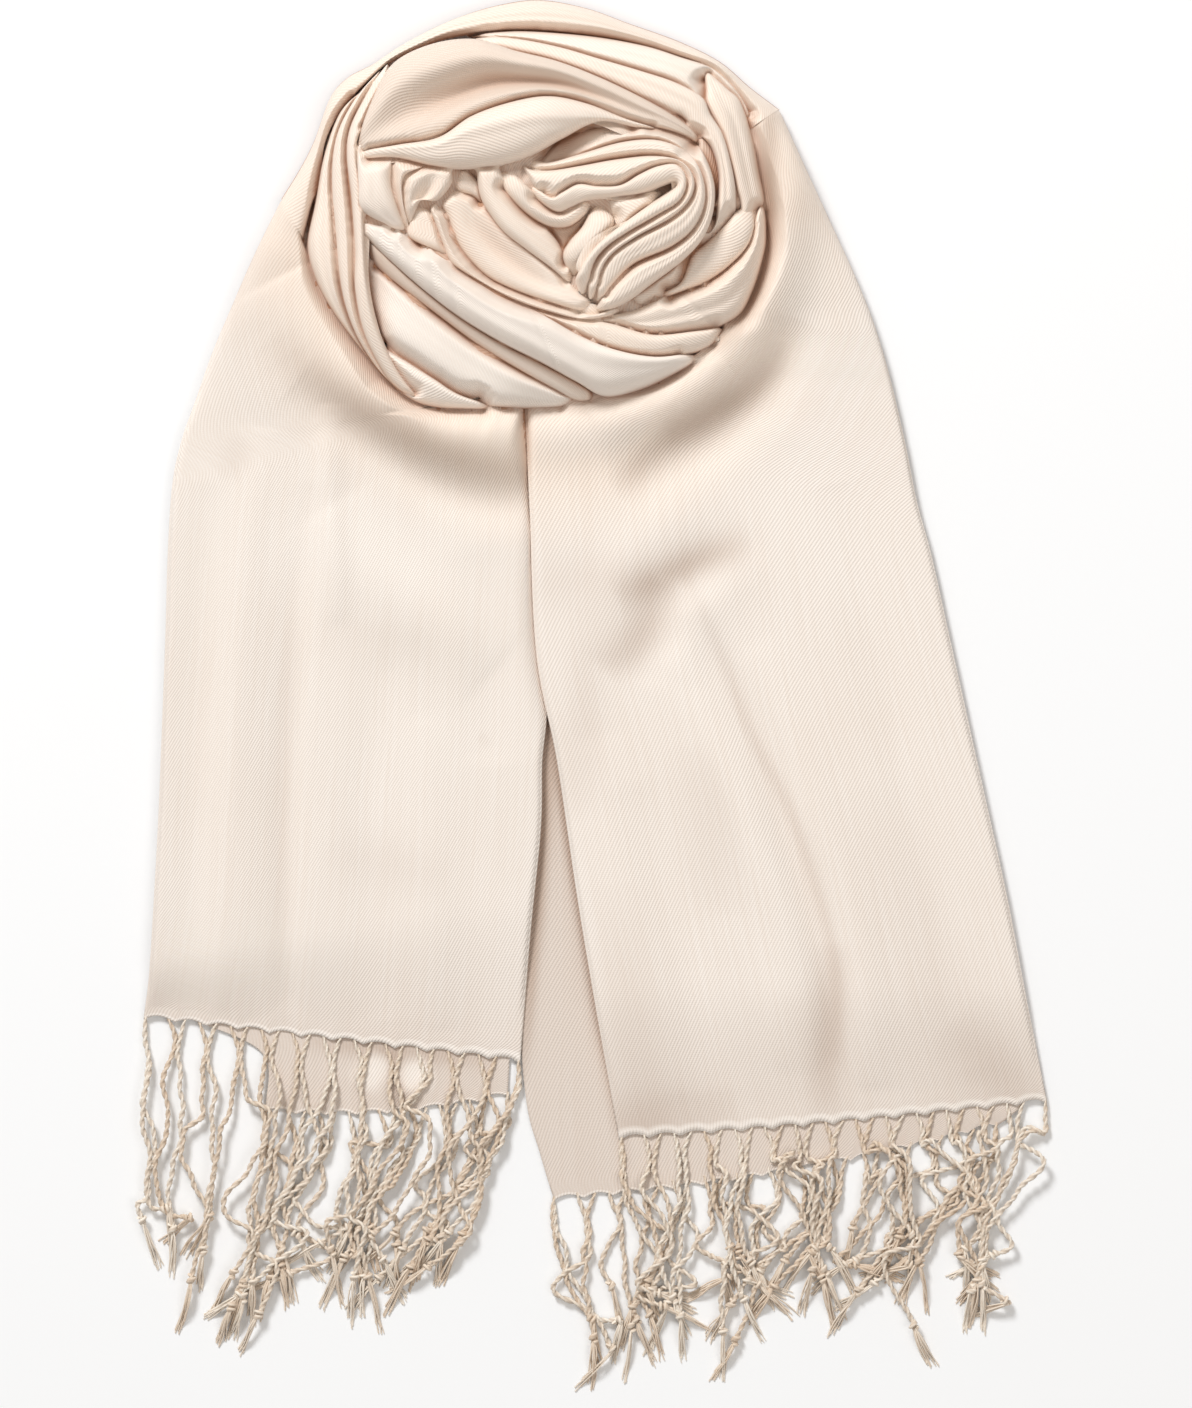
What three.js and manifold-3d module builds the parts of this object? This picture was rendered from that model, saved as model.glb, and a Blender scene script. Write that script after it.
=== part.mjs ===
// A long fringed shawl laid flat as a head wrap: its middle is wound into a low coil
// and its two ends, each folded lengthwise in four, lie side by side below the coil.
//
// Frame: millimetres, +Z up. Everything rests on z = 0. Places are first given from the
// coil's middle, +X to the right and +Y away from the tails; the last lines move the
// origin to the middle of the base.
//
// How it is made: every stretch of cloth that shows is an arched wall between two edges.
// A row of its table is one section across it. Stretches are listed from the top of the
// heap down, and each is cut back to 0.3 mm from those above it. What is hidden beneath
// is one rounded filling for the coil and one for each tail.

import * as THREE from 'three';
import Module from 'manifold-3d';

const wasm = await Module();
wasm.setup();
const { Manifold, CrossSection, Mesh } = wasm;

// ---------- driving dimensions ----------
const GAP = 0.3;              // between neighbouring pieces
const WALL = 2.0;             // one stretch of the coil: two thin layers of cloth
const TAIL_WALL = 2.2;        // the tail's upper fold
const BACK_WALL = 1.8;        // the tail's lower fold, on the floor
const COIL_SINK = 5;          // how far a stretch's edge drops below its shoulder
const TAIL_TOP = 7.4;         // height of a tail, away from its creases
const TAIL_EDGE = 4.4;        // height of the tail's rounded edge
const ROUND = 5;              // radius of the tail's rolled edge
const STRAND = 1.15;          // radius of a fringe strand
const KNOT = 2.5;             // radius of its knot
const TASSEL = 2.2;           // radius of the tassel below the knot
const HEM_STEPS = 8;          // straight pieces in a strip of fringe
const STRIP = 2.4;            // width of the strip that holds a row of fringe
const MERGE = 0.02;           // how far cut edges may be straightened
const HEAP_MIDDLE = [-5, -8]; // of the coil's hidden layers
const HEAP_REACH = 16;
const HEAP_LOW = 5;
const HEAP_HIGH = 30;
const CLOTH = 0xe8dacb;
const YARN = 0xd8c3ab;

// ---------- curves and heights ----------
const lerp = (a, b, t) => a + (b - a) * t;
const clamp = (x, lo = 0, hi = 1) => Math.min(hi, Math.max(lo, x));

// A smooth curve through the rows of a table, read at t = 0..1.
function readRows(rows, t) {
  const s = t * (rows.length - 1);
  const i = Math.min(rows.length - 2, Math.floor(s));
  const f = s - i;
  const at = (k) => rows[clamp(k, 0, rows.length - 1)];
  const [p, q, r, w] = [at(i - 1), at(i), at(i + 1), at(i + 2)];
  return q.map((_, c) => {
    const a = i === 0 ? 2 * q[c] - r[c] : p[c];
    const b = i === rows.length - 2 ? 2 * r[c] - q[c] : w[c];
    return 0.5 * (2 * q[c] + (r[c] - a) * f + (2 * a - 5 * q[c] + 4 * r[c] - b) * f * f
      + (3 * q[c] - a - 3 * r[c] + b) * f * f * f);
  });
}

// Steep at both edges and nearly level between them, 0..1 across a stretch.
const arch = (u) => Math.sqrt(Math.max(0, 1 - Math.abs(2 * u - 1) ** 2.6));
// A dip centred on the inner side of a wide stretch.
const dish = (u) => Math.exp(-(((u - 0.62) / 0.22) ** 2));

// Distance from a point to a polyline, and how far along it the nearest place is.
function nearest(points, x, y) {
  let best = [1e9, 0];
  for (let i = 0; i + 1 < points.length; i += 1) {
    const [ax, ay] = points[i];
    const [bx, by] = points[i + 1];
    const f = clamp(((x - ax) * (bx - ax) + (y - ay) * (by - ay))
      / ((bx - ax) ** 2 + (by - ay) ** 2));
    const d = Math.hypot(x - lerp(ax, bx, f), y - lerp(ay, by, f));
    if (d < best[0]) best = [d, (i + f) / (points.length - 1)];
  }
  return best;
}

// Soft ridges (height above 0) and troughs (below 0) along hand-placed lines.
function relief(creases, x, y) {
  return creases.reduce((z, { height, width, line }) => {
    const [d, along] = nearest(line, x, y);
    return z + height * Math.exp(-((d / width) ** 2)) * Math.sin(Math.PI * clamp(along, 0.12, 0.88));
  }, 0);
}

// ---------- solids ----------
// A closed body between an upper and a lower grid of points of the same size.
function body(upper, lower) {
  const nv = upper.length;
  const nu = upper[0].length;
  const points = [...upper.flat(), ...lower.flat()];
  const top = (i, j) => i * nu + j;
  const low = (i, j) => nv * nu + i * nu + j;
  const faces = [];
  const quad = (a, b, c, d) => faces.push([a, b, c], [a, c, d]);
  for (let i = 0; i + 1 < nv; i += 1) {
    for (let j = 0; j + 1 < nu; j += 1) {
      quad(top(i, j), top(i, j + 1), top(i + 1, j + 1), top(i + 1, j));
      quad(low(i, j), low(i + 1, j), low(i + 1, j + 1), low(i, j + 1));
    }
    quad(top(i, 0), top(i + 1, 0), low(i + 1, 0), low(i, 0));
    quad(top(i + 1, nu - 1), top(i, nu - 1), low(i, nu - 1), low(i + 1, nu - 1));
  }
  for (let j = 0; j + 1 < nu; j += 1) {
    quad(top(0, j + 1), top(0, j), low(0, j), low(0, j + 1));
    quad(top(nv - 1, j), top(nv - 1, j + 1), low(nv - 1, j + 1), low(nv - 1, j));
  }
  return solid(points, faces);
}

function solid(points, faces) {
  const make = (turned) => new Manifold(new Mesh({
    numProp: 3,
    vertProperties: new Float32Array(points.flat()),
    triVerts: new Uint32Array(faces.flatMap(([a, b, c]) => (turned ? [a, c, b] : [a, b, c]))),
  }));
  const first = make(false);
  return first.volume() > 0 ? first : make(true);
}

// The plan of a piece: its two edges joined into one outline, grown by a margin.
function plan(outline, margin) {
  const shape = CrossSection.ofPolygons([outline], 'NonZero');
  return shape.offset(margin, 'Miter', 2, 0);
}
const column = (shape, from, to) => Manifold.extrude(shape, to - from).translate([0, 0, from]);

const largest = (m) => m.decompose().sort((a, b) => b.volume() - a.volume())[0];

// ---------- one stretch of the coil ----------
// Columns of a row: x and y of the outer edge, x and y of the inner edge, height of
// the outer and of the inner shoulder, rise of the arch between them, depth of a dip.
const ACROSS = [0, 0.09, 0.34, 0.64, 0.91, 1];
const ACROSS_SLIM = [0, 0.15, 0.5, 0.85, 1];

function stretchGrids(rows, sections, across = ACROSS) {
  const full = rows.map((row) => [...row, 0].slice(0, 8));
  const upper = [];
  for (let i = 0; i <= sections; i += 1) {
    const [ox, oy, ix, iy, oz, iz, rise, dip] = readRows(full, i / sections);
    upper.push(across.map((u) => [
      lerp(ox, ix, u), lerp(oy, iy, u),
      lerp(oz, iz, u) - COIL_SINK + (COIL_SINK + rise) * arch(u) - dip * dish(u),
    ]));
  }
  return upper;
}

const lowered = (grid, by) => grid.map((row) => row.map(([x, y, z]) => [x, y, z - by]));
const atHeight = (grid, z) => grid.map((row) => row.map(([x, y]) => [x, y, z]));
const outlineOf = (grid) => [
  ...grid.map((row) => row[0].slice(0, 2)),
  ...grid.map((row) => row[row.length - 1].slice(0, 2)).reverse(),
];

// ---------- the coil's stretches, from the top of the heap down ----------
const COIL = {
  flap_rolled_edge: { sections: 9, rows: [
    [-79, 21, -78.5, 18, 36, 34, 0.5],
    [-60, 24, -62, 18.5, 39, 37, 2],
    [-43, 27, -46, 15, 41, 38, 4],
    [-29, 36, -33, 14, 42, 38, 6],
    [-12, 42, -16, 15.5, 42, 38, 7],
    [4, 44.5, -3, 20, 41, 38, 7],
    [20, 41.5, 10, 27, 39, 37, 5],
    [37, 35, 26, 34, 37, 36, 1],
    [54, 30, 46, 30, 35, 34, 0.5],
  ] },
  top_flap: { sections: 9, rows: [
    [-78, 26, -79, 21.5, 34, 34, 0.5],
    [-72, 42, -68, 22.5, 35, 37, 2, 1],
    [-63, 58, -54, 25, 35, 38, 4, 3],
    [-47, 66.5, -38, 30, 35, 39, 5, 6],
    [-28, 69, -20, 39, 35, 40, 6, 8],
    [-10, 64, -4, 43.5, 36, 40, 5, 6],
    [8, 59.5, 11, 43.5, 36, 39, 4, 4],
    [26, 52.5, 26, 39, 36, 38, 3, 2],
    [43, 45, 41, 33, 35, 36, 2, 1],
    [57, 38.5, 54, 30, 34, 34, 1],
  ] },
  ruffle_left: { sections: 6, slim: true, rows: [
    [-76, 19, -63, 19.5, 37, 38, 3],
    [-76.5, 8, -62.5, 8, 37, 37, 5],
    [-75, -3, -60, -5, 35, 36, 4],
    [-66, -10.5, -57, -13, 33, 34, 2],
  ] },
  ruffle_middle: { sections: 6, slim: true, rows: [
    [-62.5, 19, -49, 16, 38, 39, 2],
    [-62.5, 9, -58, 10, 37, 39, 2],
    [-60, -4, -58, -3, 36, 38, 1],
    [-56.5, -13, -54.5, -13.5, 34, 34, 0.5],
  ] },
  ruffle_right: { sections: 6, slim: true, rows: [
    [-48.5, 16, -38, 14.5, 39, 38, 3],
    [-56, 11, -38, 8, 39, 38, 3, 4],
    [-59, 4.5, -44, 0.5, 38, 37, 3, 5],
    [-58, -3, -51, 0, 37, 36, 2],
    [-55.5, -13, -53.5, -8, 34, 35, 1],
  ] },
  spiral_1: { sections: 15, slim: true, rows: [
    [19.5, -41.5, 15, -36, 36, 36, 1],
    [22.5, -28, 16.5, -31, 38, 38, 2],
    [27.5, -20.5, 20.5, -24, 40, 40, 2],
    [36.5, -14, 27, -16.5, 42, 41, 2],
    [49.5, -6.5, 43, -4.5, 43, 42, 2],
    [59.5, 0, 55, 3.5, 44, 42, 2],
    [62.5, 8.5, 58.5, 6.5, 44, 42, 2],
    [58.5, 15, 57, 8, 44, 42, 2],
    [50.5, 14.5, 52, 6.5, 44, 42, 3],
    [42.5, 11, 43, 3, 44, 41, 3],
    [34.5, 6.5, 31, 1.5, 43, 40, 2],
    [25, 6, 20.5, 0.5, 42, 38, 2],
    [16.5, 7, 13.5, -2.5, 41, 36, 2],
    [9.5, 3.5, 8, -4.5, 40, 35, 2],
    [4.5, 1.5, 2, -1.5, 39, 35, 1.5],
    [-5, 9, -6.5, 6.5, 37, 35, 1],
  ] },
  spiral_2: { sections: 13, slim: true, rows: [
    [23.5, -41.5, 19.8, -41.5, 36, 36, 1],
    [26, -30, 22.5, -28, 38, 38, 1.5],
    [31, -22.5, 27.5, -20.5, 40, 40, 1.5],
    [41, -15.5, 36.5, -14, 42, 42, 1.5],
    [56.5, -7, 49.5, -6.5, 42, 43, 1.5],
    [64.5, 1.5, 59.5, 0, 42, 44, 1.5],
    [65.5, 10, 62.5, 8.5, 42, 44, 1.5],
    [59.5, 17, 58.5, 15, 42, 44, 1.5],
    [47.5, 19, 49, 14, 41, 44, 2],
    [32, 17.5, 35, 7, 40, 43, 4],
    [18, 15, 25, 6, 39, 42, 4],
    [5, 13, 14, 6, 38, 41, 3],
    [-4, 13.5, 4, 2, 37, 39, 2],
    [-9, 17, -6, 9, 35, 36, 1],
  ] },
  spiral_3: { sections: 13, slim: true, rows: [
    [25.5, -43, 23.8, -41.5, 34, 36, 0.5],
    [31, -35.5, 26.5, -30, 35, 37, 1],
    [40.5, -26.5, 31.5, -22.5, 36, 38, 2],
    [56, -19.5, 42, -15.5, 37, 39, 3],
    [66, -11, 57.5, -7, 38, 40, 3],
    [70.5, 1, 65, 1.5, 39, 40, 2],
    [68.5, 13, 65, 11.5, 39, 41, 2],
    [61.5, 21.5, 59, 17, 38, 41, 2],
    [49.5, 26, 48, 19.5, 38, 40, 2.5],
    [34.5, 25, 32, 17.5, 37, 39, 3],
    [17, 20, 17, 15, 36, 38, 2],
    [3.5, 16.5, 4, 13, 35, 37, 1],
    [-6, 18.5, -8, 15.5, 33, 34, 0.5],
  ] },
  pocket_tab: { sections: 7, slim: true, rows: [
    [23.5, 0.5, 29, -2, 36, 36, 1],
    [19, -10, 31.5, -9.5, 35, 36, 3],
    [13, -17, 25.5, -17, 33, 35, 4],
    [10, -23.5, 19.5, -24, 31, 33, 3],
    [13.5, -33, 15.5, -33, 27, 28, 1],
  ] },
  slit_lip: { sections: 6, slim: true, rows: [
    [27, 1.5, 30, -4, 37, 36, 1],
    [34.5, 1.5, 34, -10, 38, 37, 2],
    [44, 3, 43, -4.5, 39, 39, 2],
    [52.5, 5.5, 53.5, 2.5, 39, 39, 0.5],
  ] },
  pocket_rim: { sections: 8, slim: true, rows: [
    [-15, 15.5, -20, 13, 37, 36, 1],
    [-8, 9, -13, 2.5, 37, 35, 2],
    [0, 1, -5, -5.5, 36, 33, 3],
    [6, -4, 4, -10.5, 35, 31, 3],
    [11.5, -4.5, 12.5, -10.5, 34, 31, 3],
    [17, -1, 19, -6, 35, 32, 2],
    [22, 1.5, 23.5, -1, 35, 34, 1],
  ] },
  centre_fold: { sections: 7, slim: true, rows: [
    [-26, 13.5, -20.5, 13.5, 37, 36, 2],
    [-24, 1, -14.5, 3.5, 36, 35, 4],
    [-15.5, -11.5, -5, -5.5, 34, 33, 4],
    [-4.5, -20.5, 3, -14.5, 32, 30, 3],
    [6.5, -29, 9.5, -24, 30, 28, 2],
    [15, -37, 14, -31.5, 26, 26, 1],
  ] },
  pocket_floor: { sections: 5, slim: true, rows: [
    [-13, 2, 23, -2, 27, 29, 1],
    [-4, -7, 19, -8, 27, 28, 1],
    [3, -15, 13, -17, 25, 26, 1],
    [9, -24, 11, -23.5, 23, 23, 1],
    [14, -33, 15, -33, 22, 22, 0.5],
  ] },
  spiral_4: { sections: 13, slim: true, rows: [
    [22.5, -48, 25, -42.5, 31, 33, 2],
    [36, -43, 31.5, -35.5, 33, 34, 3],
    [48, -34.5, 41, -26.5, 34, 35, 4],
    [60.5, -25, 56.5, -19.5, 35, 36, 3],
    [69.5, -15, 66.5, -11, 35, 37, 2],
    [74, -3, 71, 1, 35, 38, 1.5],
    [74, 9, 69, 13, 35, 38, 2],
    [69, 21.5, 62, 21.5, 34, 37, 2],
    [61, 29, 50, 26, 33, 37, 3],
    [49, 31.5, 36, 25.5, 32, 36, 3],
    [30, 32, 20, 21, 30, 34, 1],
    [14, 29, 6, 17, 27, 30, 0],
    [4, 24, -3, 17, 25, 28, 0],
  ] },
  wedge: { sections: 4, slim: true, rows: [
    [-38.5, 14, -39, 7, 32, 32, 0.5],
    [-31.5, 13, -33.5, 4.5, 31, 32, 0.5],
    [-26, 8, -27.5, 2, 30, 31, 0.5],
    [-22.5, -2, -23, -4, 29, 30, 0.3],
  ] },
  twill_panel: { sections: 9, rows: [
    [-44, 1, -38.5, 7, 33, 31, 2],
    [-39.5, -5.5, -28, 2, 33, 31, 2],
    [-35.5, -16.5, -21.5, -5, 32, 31, 2, 2],
    [-29.5, -25, -11, -15.5, 31, 30, 2, 3],
    [-21, -32.5, 2, -25.5, 30, 29, 2, 3],
    [-8, -38.5, 11, -33, 29, 28, 2, 2],
    [8.5, -44, 18, -39.5, 28, 28, 2],
    [23, -48, 24, -43, 27, 28, 1],
  ] },
  narrow_strip: { sections: 10, slim: true, rows: [
    [-48, -0.5, -44.5, 1, 35, 34, 1],
    [-44.5, -9, -40, -5.5, 35, 34, 1.5],
    [-41, -18.5, -36, -16.5, 34, 33, 1.5],
    [-37, -26.5, -30, -25, 33, 32, 1.5],
    [-25.5, -34, -21.5, -32.5, 32, 31, 1.5],
    [-12.5, -41, -8.5, -38.5, 30, 30, 1.5],
    [3, -46.5, 8.5, -44.5, 29, 29, 1.5],
    [20, -50, 23, -48, 28, 28, 1],
    [37, -47, 36, -43.5, 27, 28, 1],
  ] },
  leaf_inner: { sections: 4, slim: true, rows: [
    [-52, 0.5, -48, -0.5, 33, 33, 0.5],
    [-54, -6, -44.5, -9, 33, 33, 1],
    [-56, -14.5, -41, -18.5, 32, 33, 1.5],
    [-44, -21.5, -38, -26, 31, 32, 0.5],
  ] },
  front_leaf: { sections: 11, rows: [
    [-77, -10, -77, -13, 26, 26, 0.5],
    [-66, -10.5, -67, -22, 33, 29, 3],
    [-54.5, -16, -52, -35.5, 36, 29, 5],
    [-38, -26.5, -35, -48.5, 37, 28, 7],
    [-25, -34.5, -17, -59.5, 36, 27, 8],
    [-12, -41.5, 0, -68, 35, 25, 8],
    [2.5, -49, 15, -76, 33, 23, 7],
    [17, -57, 28, -82.5, 31, 19, 7],
    [32, -63, 43, -80, 29, 17, 6],
    [49.5, -66, 58, -73, 26, 17, 4],
    [66, -64, 69, -66, 22, 19, 1],
  ] },
  front_pleat: { sections: 8, slim: true, rows: [
    [-76, -14.5, -75, -23, 22, 20, 0.5],
    [-66.5, -22.5, -60, -35.5, 27, 24, 1],
    [-51.5, -36, -43, -48.5, 27, 24, 1.5],
    [-34.5, -49, -26, -61, 26, 23, 1.5],
    [-17, -60, -8.5, -71.5, 25, 22, 1.5],
    [0, -68.5, 4.5, -78.5, 23, 20, 1],
    [15, -76.5, 15.5, -84, 19, 16, 0.5],
    [24, -82, 24, -84, 15, 14, 0.5],
  ] },
  lower_band: { sections: 8, slim: true, rows: [
    [-16, -39, -14, -41, 28, 29, 0.5],
    [0, -46, 2, -49, 28, 29, 0.5],
    [17, -49.5, 17, -56.5, 28, 27, 1.5],
    [31, -52, 32, -63, 27, 25, 3],
    [48, -56.5, 49, -66, 26, 23, 3],
    [66, -55, 67, -63.5, 24, 20, 2],
    [81, -52.5, 77, -58.5, 18, 17, 1],
  ] },
  lower_right_fold: { sections: 7, slim: true, rows: [
    [93, -3, 91, -1, 26, 27, 0.5],
    [89.5, -17, 84, -13, 25, 27, 1.5],
    [81.5, -26.5, 78, -21, 24, 26, 1.5],
    [71, -34, 70, -27, 24, 26, 1.5],
    [62, -37.5, 60, -34.5, 24, 25, 1],
    [50, -42, 49, -40, 24, 25, 0.5],
  ] },
  lower_right_band: { sections: 9, rows: [
    [96, 2, 94, 0, 16, 20, 1],
    [97, -12, 92, -9, 15, 24, 3],
    [96, -22, 89, -18, 14, 25, 5],
    [91, -38, 81, -27, 14, 25, 7],
    [84, -49, 69, -35, 16, 25, 7],
    [68, -55, 54, -40, 21, 26, 5],
    [48, -56.5, 42, -45.5, 24, 26, 3],
    [31, -52, 29, -48.5, 25, 26, 1.5],
    [18, -49.5, 19, -48.5, 25, 26, 0.5],
  ] },
  inner_right_band: { sections: 14, slim: true, rows: [
    [-26, 71.5, -29, 69, 26, 28, 1],
    [-8, 69.5, -13, 64.5, 28, 30, 2],
    [9, 66, 3, 61, 29, 31, 2],
    [26, 61, 19, 55.5, 30, 31, 2.5],
    [43, 56, 35, 48.5, 30, 31, 3],
    [58, 51, 49, 41.5, 30, 31, 3],
    [69, 44.5, 60, 37, 30, 31, 2.5],
    [73, 37, 67, 30.5, 30, 31, 2],
    [78, 29, 73.5, 23.5, 30, 31, 2],
    [81.5, 17, 76.5, 12, 30, 31, 2],
    [83.5, 4, 76, 0, 29, 31, 2.5],
    [82, -8, 75, -10, 28, 30, 3],
    [73.5, -23.5, 69, -17, 27, 29, 2],
    [63, -34, 59.5, -26, 26, 28, 1.5],
    [51, -40.5, 47, -35.5, 25, 27, 1],
    [38, -46, 36, -43.5, 24, 26, 0.5],
  ] },
  flap_end: { sections: 7, slim: true, rows: [
    [50, 41, 45, 32, 29, 29, 0.5],
    [58, 38, 54, 30, 28, 29, 1],
    [66, 30.5, 61, 28, 26, 28, 1],
    [73.5, 23, 69, 20, 25, 27, 1],
    [76.5, 11, 73.5, 8, 24, 26, 1],
    [76, 1, 74, -1, 24, 25, 0.5],
  ] },
  right_band: { sections: 8, slim: true, rows: [
    [73, 56.5, 70.5, 53, 20, 21, 0.5],
    [80, 50, 70.5, 42, 20, 25, 3],
    [86, 43, 77, 31, 19, 26, 4],
    [91, 28, 81, 19, 18, 26, 4],
    [94, 13, 84, 7, 17, 25, 4],
    [96, 2, 86, -3, 17, 24, 3],
    [94, -4, 84, -11, 18, 22, 1],
  ] },
  outer_top_band: { sections: 8, slim: true, rows: [
    [-30, 72, -28, 71, 20, 21, 0.5],
    [-10, 73.5, -9, 69.5, 20, 25, 2],
    [10, 72.5, 9, 66, 20, 26, 3],
    [28, 70.5, 26, 61, 20, 27, 4],
    [46, 67, 43, 56, 20, 27, 4],
    [60, 62.5, 57, 51.5, 20, 27, 4],
    [70.5, 56.5, 69.5, 45, 20, 26, 3],
  ] },
  pleat_inner: { sections: 9, slim: true, rows: [
    [-67, 58, -64, 60, 27, 29, 1],
    [-75, 44.5, -70, 44, 28, 31, 2],
    [-81, 32, -77, 29, 28, 32, 2],
    [-82.5, 20, -78.5, 19, 28, 32, 2],
    [-80.5, 0, -76, 2, 28, 32, 2],
    [-79, -20, -75, -20, 27, 31, 2],
    [-79, -37, -73.5, -36, 26, 30, 2],
    [-75, -56, -69.5, -54, 23, 26, 2],
    [-66, -73.5, -61, -72, 18, 20, 1.5],
    [-56, -83.5, -50, -86, 13, 14, 1],
  ] },
  pleat_middle: { sections: 9, slim: true, rows: [
    [-70, 55.5, -67.5, 57.5, 24, 25, 1],
    [-80.5, 42, -76.5, 43, 24, 27, 2],
    [-87, 28, -82, 28, 24, 28, 2],
    [-89, 11, -82, 11, 24, 28, 2.5],
    [-87.5, -11, -80, -11, 24, 28, 2.5],
    [-85, -36.5, -79.5, -34, 22, 26, 2.5],
    [-79.5, -54.5, -76, -54, 19, 23, 2],
    [-71, -69, -67.5, -71.5, 15, 18, 1],
    [-61.5, -79.5, -58, -81.5, 11, 13, 0.5],
  ] },
  pleat_outer: { sections: 9, slim: true, rows: [
    [-77, 48, -74, 50, 19, 20, 1],
    [-86, 38, -81.5, 39.5, 19, 21, 2],
    [-92.5, 20, -88.5, 20, 18, 22, 2.5],
    [-96, 1, -89.5, 4, 17, 22, 3],
    [-99.5, -18, -88.5, -15, 16, 22, 4],
    [-96, -33, -85.5, -36, 15, 21, 4],
    [-88, -47.5, -81, -51, 14, 18, 3],
    [-76, -63.5, -72.5, -66, 12, 14, 1],
    [-64, -78, -62, -78.5, 10, 11, 0.5],
  ] },
  front_crescent: { sections: 7, slim: true, rows: [
    [-72, -66, -70.5, -58, 13, 16, 0.5],
    [-63, -78, -64, -63.5, 12, 18, 3],
    [-53, -85, -56, -68.5, 12, 19, 4],
    [-43, -87.5, -45, -75.5, 12, 19, 4],
    [-32, -88, -34.5, -82, 12, 17, 3],
    [-18, -88, -19.5, -86.5, 12, 13, 1],
  ] },
  lowest_front: { sections: 7, rows: [
    [-74, -20, -74, -34, 18, 14, 0.5],
    [-66, -30, -70, -52, 22, 17, 2],
    [-55, -39, -63, -63, 24, 19, 4],
    [-40, -51, -53, -70, 24, 19, 5],
    [-25, -62, -38, -80, 23, 17, 5],
    [-8, -72, -22, -86.5, 22, 14, 5],
    [5, -79, -2, -87.5, 18, 12, 3],
    [17, -84.5, 15, -86.5, 13, 12, 0.5],
  ] },
  outer_wrap: { sections: 15, rows: [
    [-111, 2, -101.5, -15, 7.5, 12, 8],
    [-103, 15, -98, -1, 7.5, 13, 9],
    [-97, 27, -94.5, 9, 7.5, 14, 9],
    [-90.5, 45, -92, 26, 7.5, 14, 9],
    [-83, 54, -85, 40, 7.5, 15, 8],
    [-72, 60, -76, 50, 7.5, 15, 7],
    [-60, 68, -65, 60, 7.5, 15, 7],
    [-46, 75.5, -50, 67.5, 7.5, 16, 7],
    [-33, 81, -38, 71.5, 7.5, 16, 8],
    [-17, 85.5, -19, 74, 7.5, 16, 9],
    [0, 87.5, 2, 74, 7.5, 16, 10],
    [20, 84, 24, 71.5, 7.5, 16, 10],
    [38, 77.5, 39, 69, 7.5, 16, 9],
    [60, 69.5, 57, 64, 7.5, 16, 7],
    [77, 61, 73, 57.5, 7.5, 16, 7],
    [90, 50, 83, 46.5, 7.5, 16, 8],
    [102, 41, 89.5, 32, 7.5, 16, 9],
  ] },
};

// ---------- the two tails ----------
// Columns of a row: x and y of the outer edge, x and y of the inner edge, how far the
// hem bows out between them, and how far the cloth rises there towards the wrap.
const LEFT_FRONT = [
  [-112, 0.5, -102, -15.5, 0, 12], [-123, -22, -99.5, -29, 0, 10], [-133, -45, -92, -44, 0, 7],
  [-141, -64, -81, -60, 0, 4], [-148, -84, -66, -77.5, 0, 2], [-154, -101, -45, -89, 0, 0.5],
  [-158, -120, -13, -89.5],
  [-160, -150, -4.5, -108], [-161, -185, -5.5, -150], [-162.5, -225, -2.5, -195],
  [-164, -262, 1.5, -232], [-166, -299, 0.5, -266], [-168, -330, -4, -312],
  [-170.5, -350, -8.5, -369, 0],
];
const LEFT_BACK = [
  [-128, -42, -100, -46], [-142, -75, -76, -76], [-150, -105, -48, -95], [-155, -150, -10, -112],
  [-157, -190, -8, -160], [-160, -240, -4, -215], [-162, -290, -3, -266], [-164, -330, -8, -320],
  [-158, -346, -11, -350], [-120, -364, -13, -366], [-118, -390, -14, -383, 4.5],
];
const RIGHT_FRONT = [
  [103, 40, 90.5, 31, 0, 12], [113, 18, 96, 7, 0, 11], [124, -6, 97.5, -14, 0, 9],
  [135, -30, 95, -33, 0, 6], [143, -50, 86, -50, 0, 3], [150, -73, 67, -68, 0, 1],
  [157, -103, 42, -82], [162, -128, 14, -88],
  [168, -150, -1.5, -94], [176, -186, -2.5, -140], [184, -222, -0.5, -195],
  [192, -258, 5, -238], [201, -299, 15.5, -295], [209, -341, 23.5, -343],
  [218, -386, 34, -402, 1.5],
];
const RIGHT_BACK = [
  [136, -42, 100, -40], [146, -75, 72, -72], [156, -112, 20, -94], [166, -158, 1, -110],
  [178, -212, 1.5, -160], [189, -262, 4.5, -212], [198, -305, 4, -250], [206, -345, 0, -300],
  [212, -372, -5, -340], [208, -385, -2, -385], [203, -391, 4, -420], [196, -396, 15, -432, 5],
];

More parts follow.
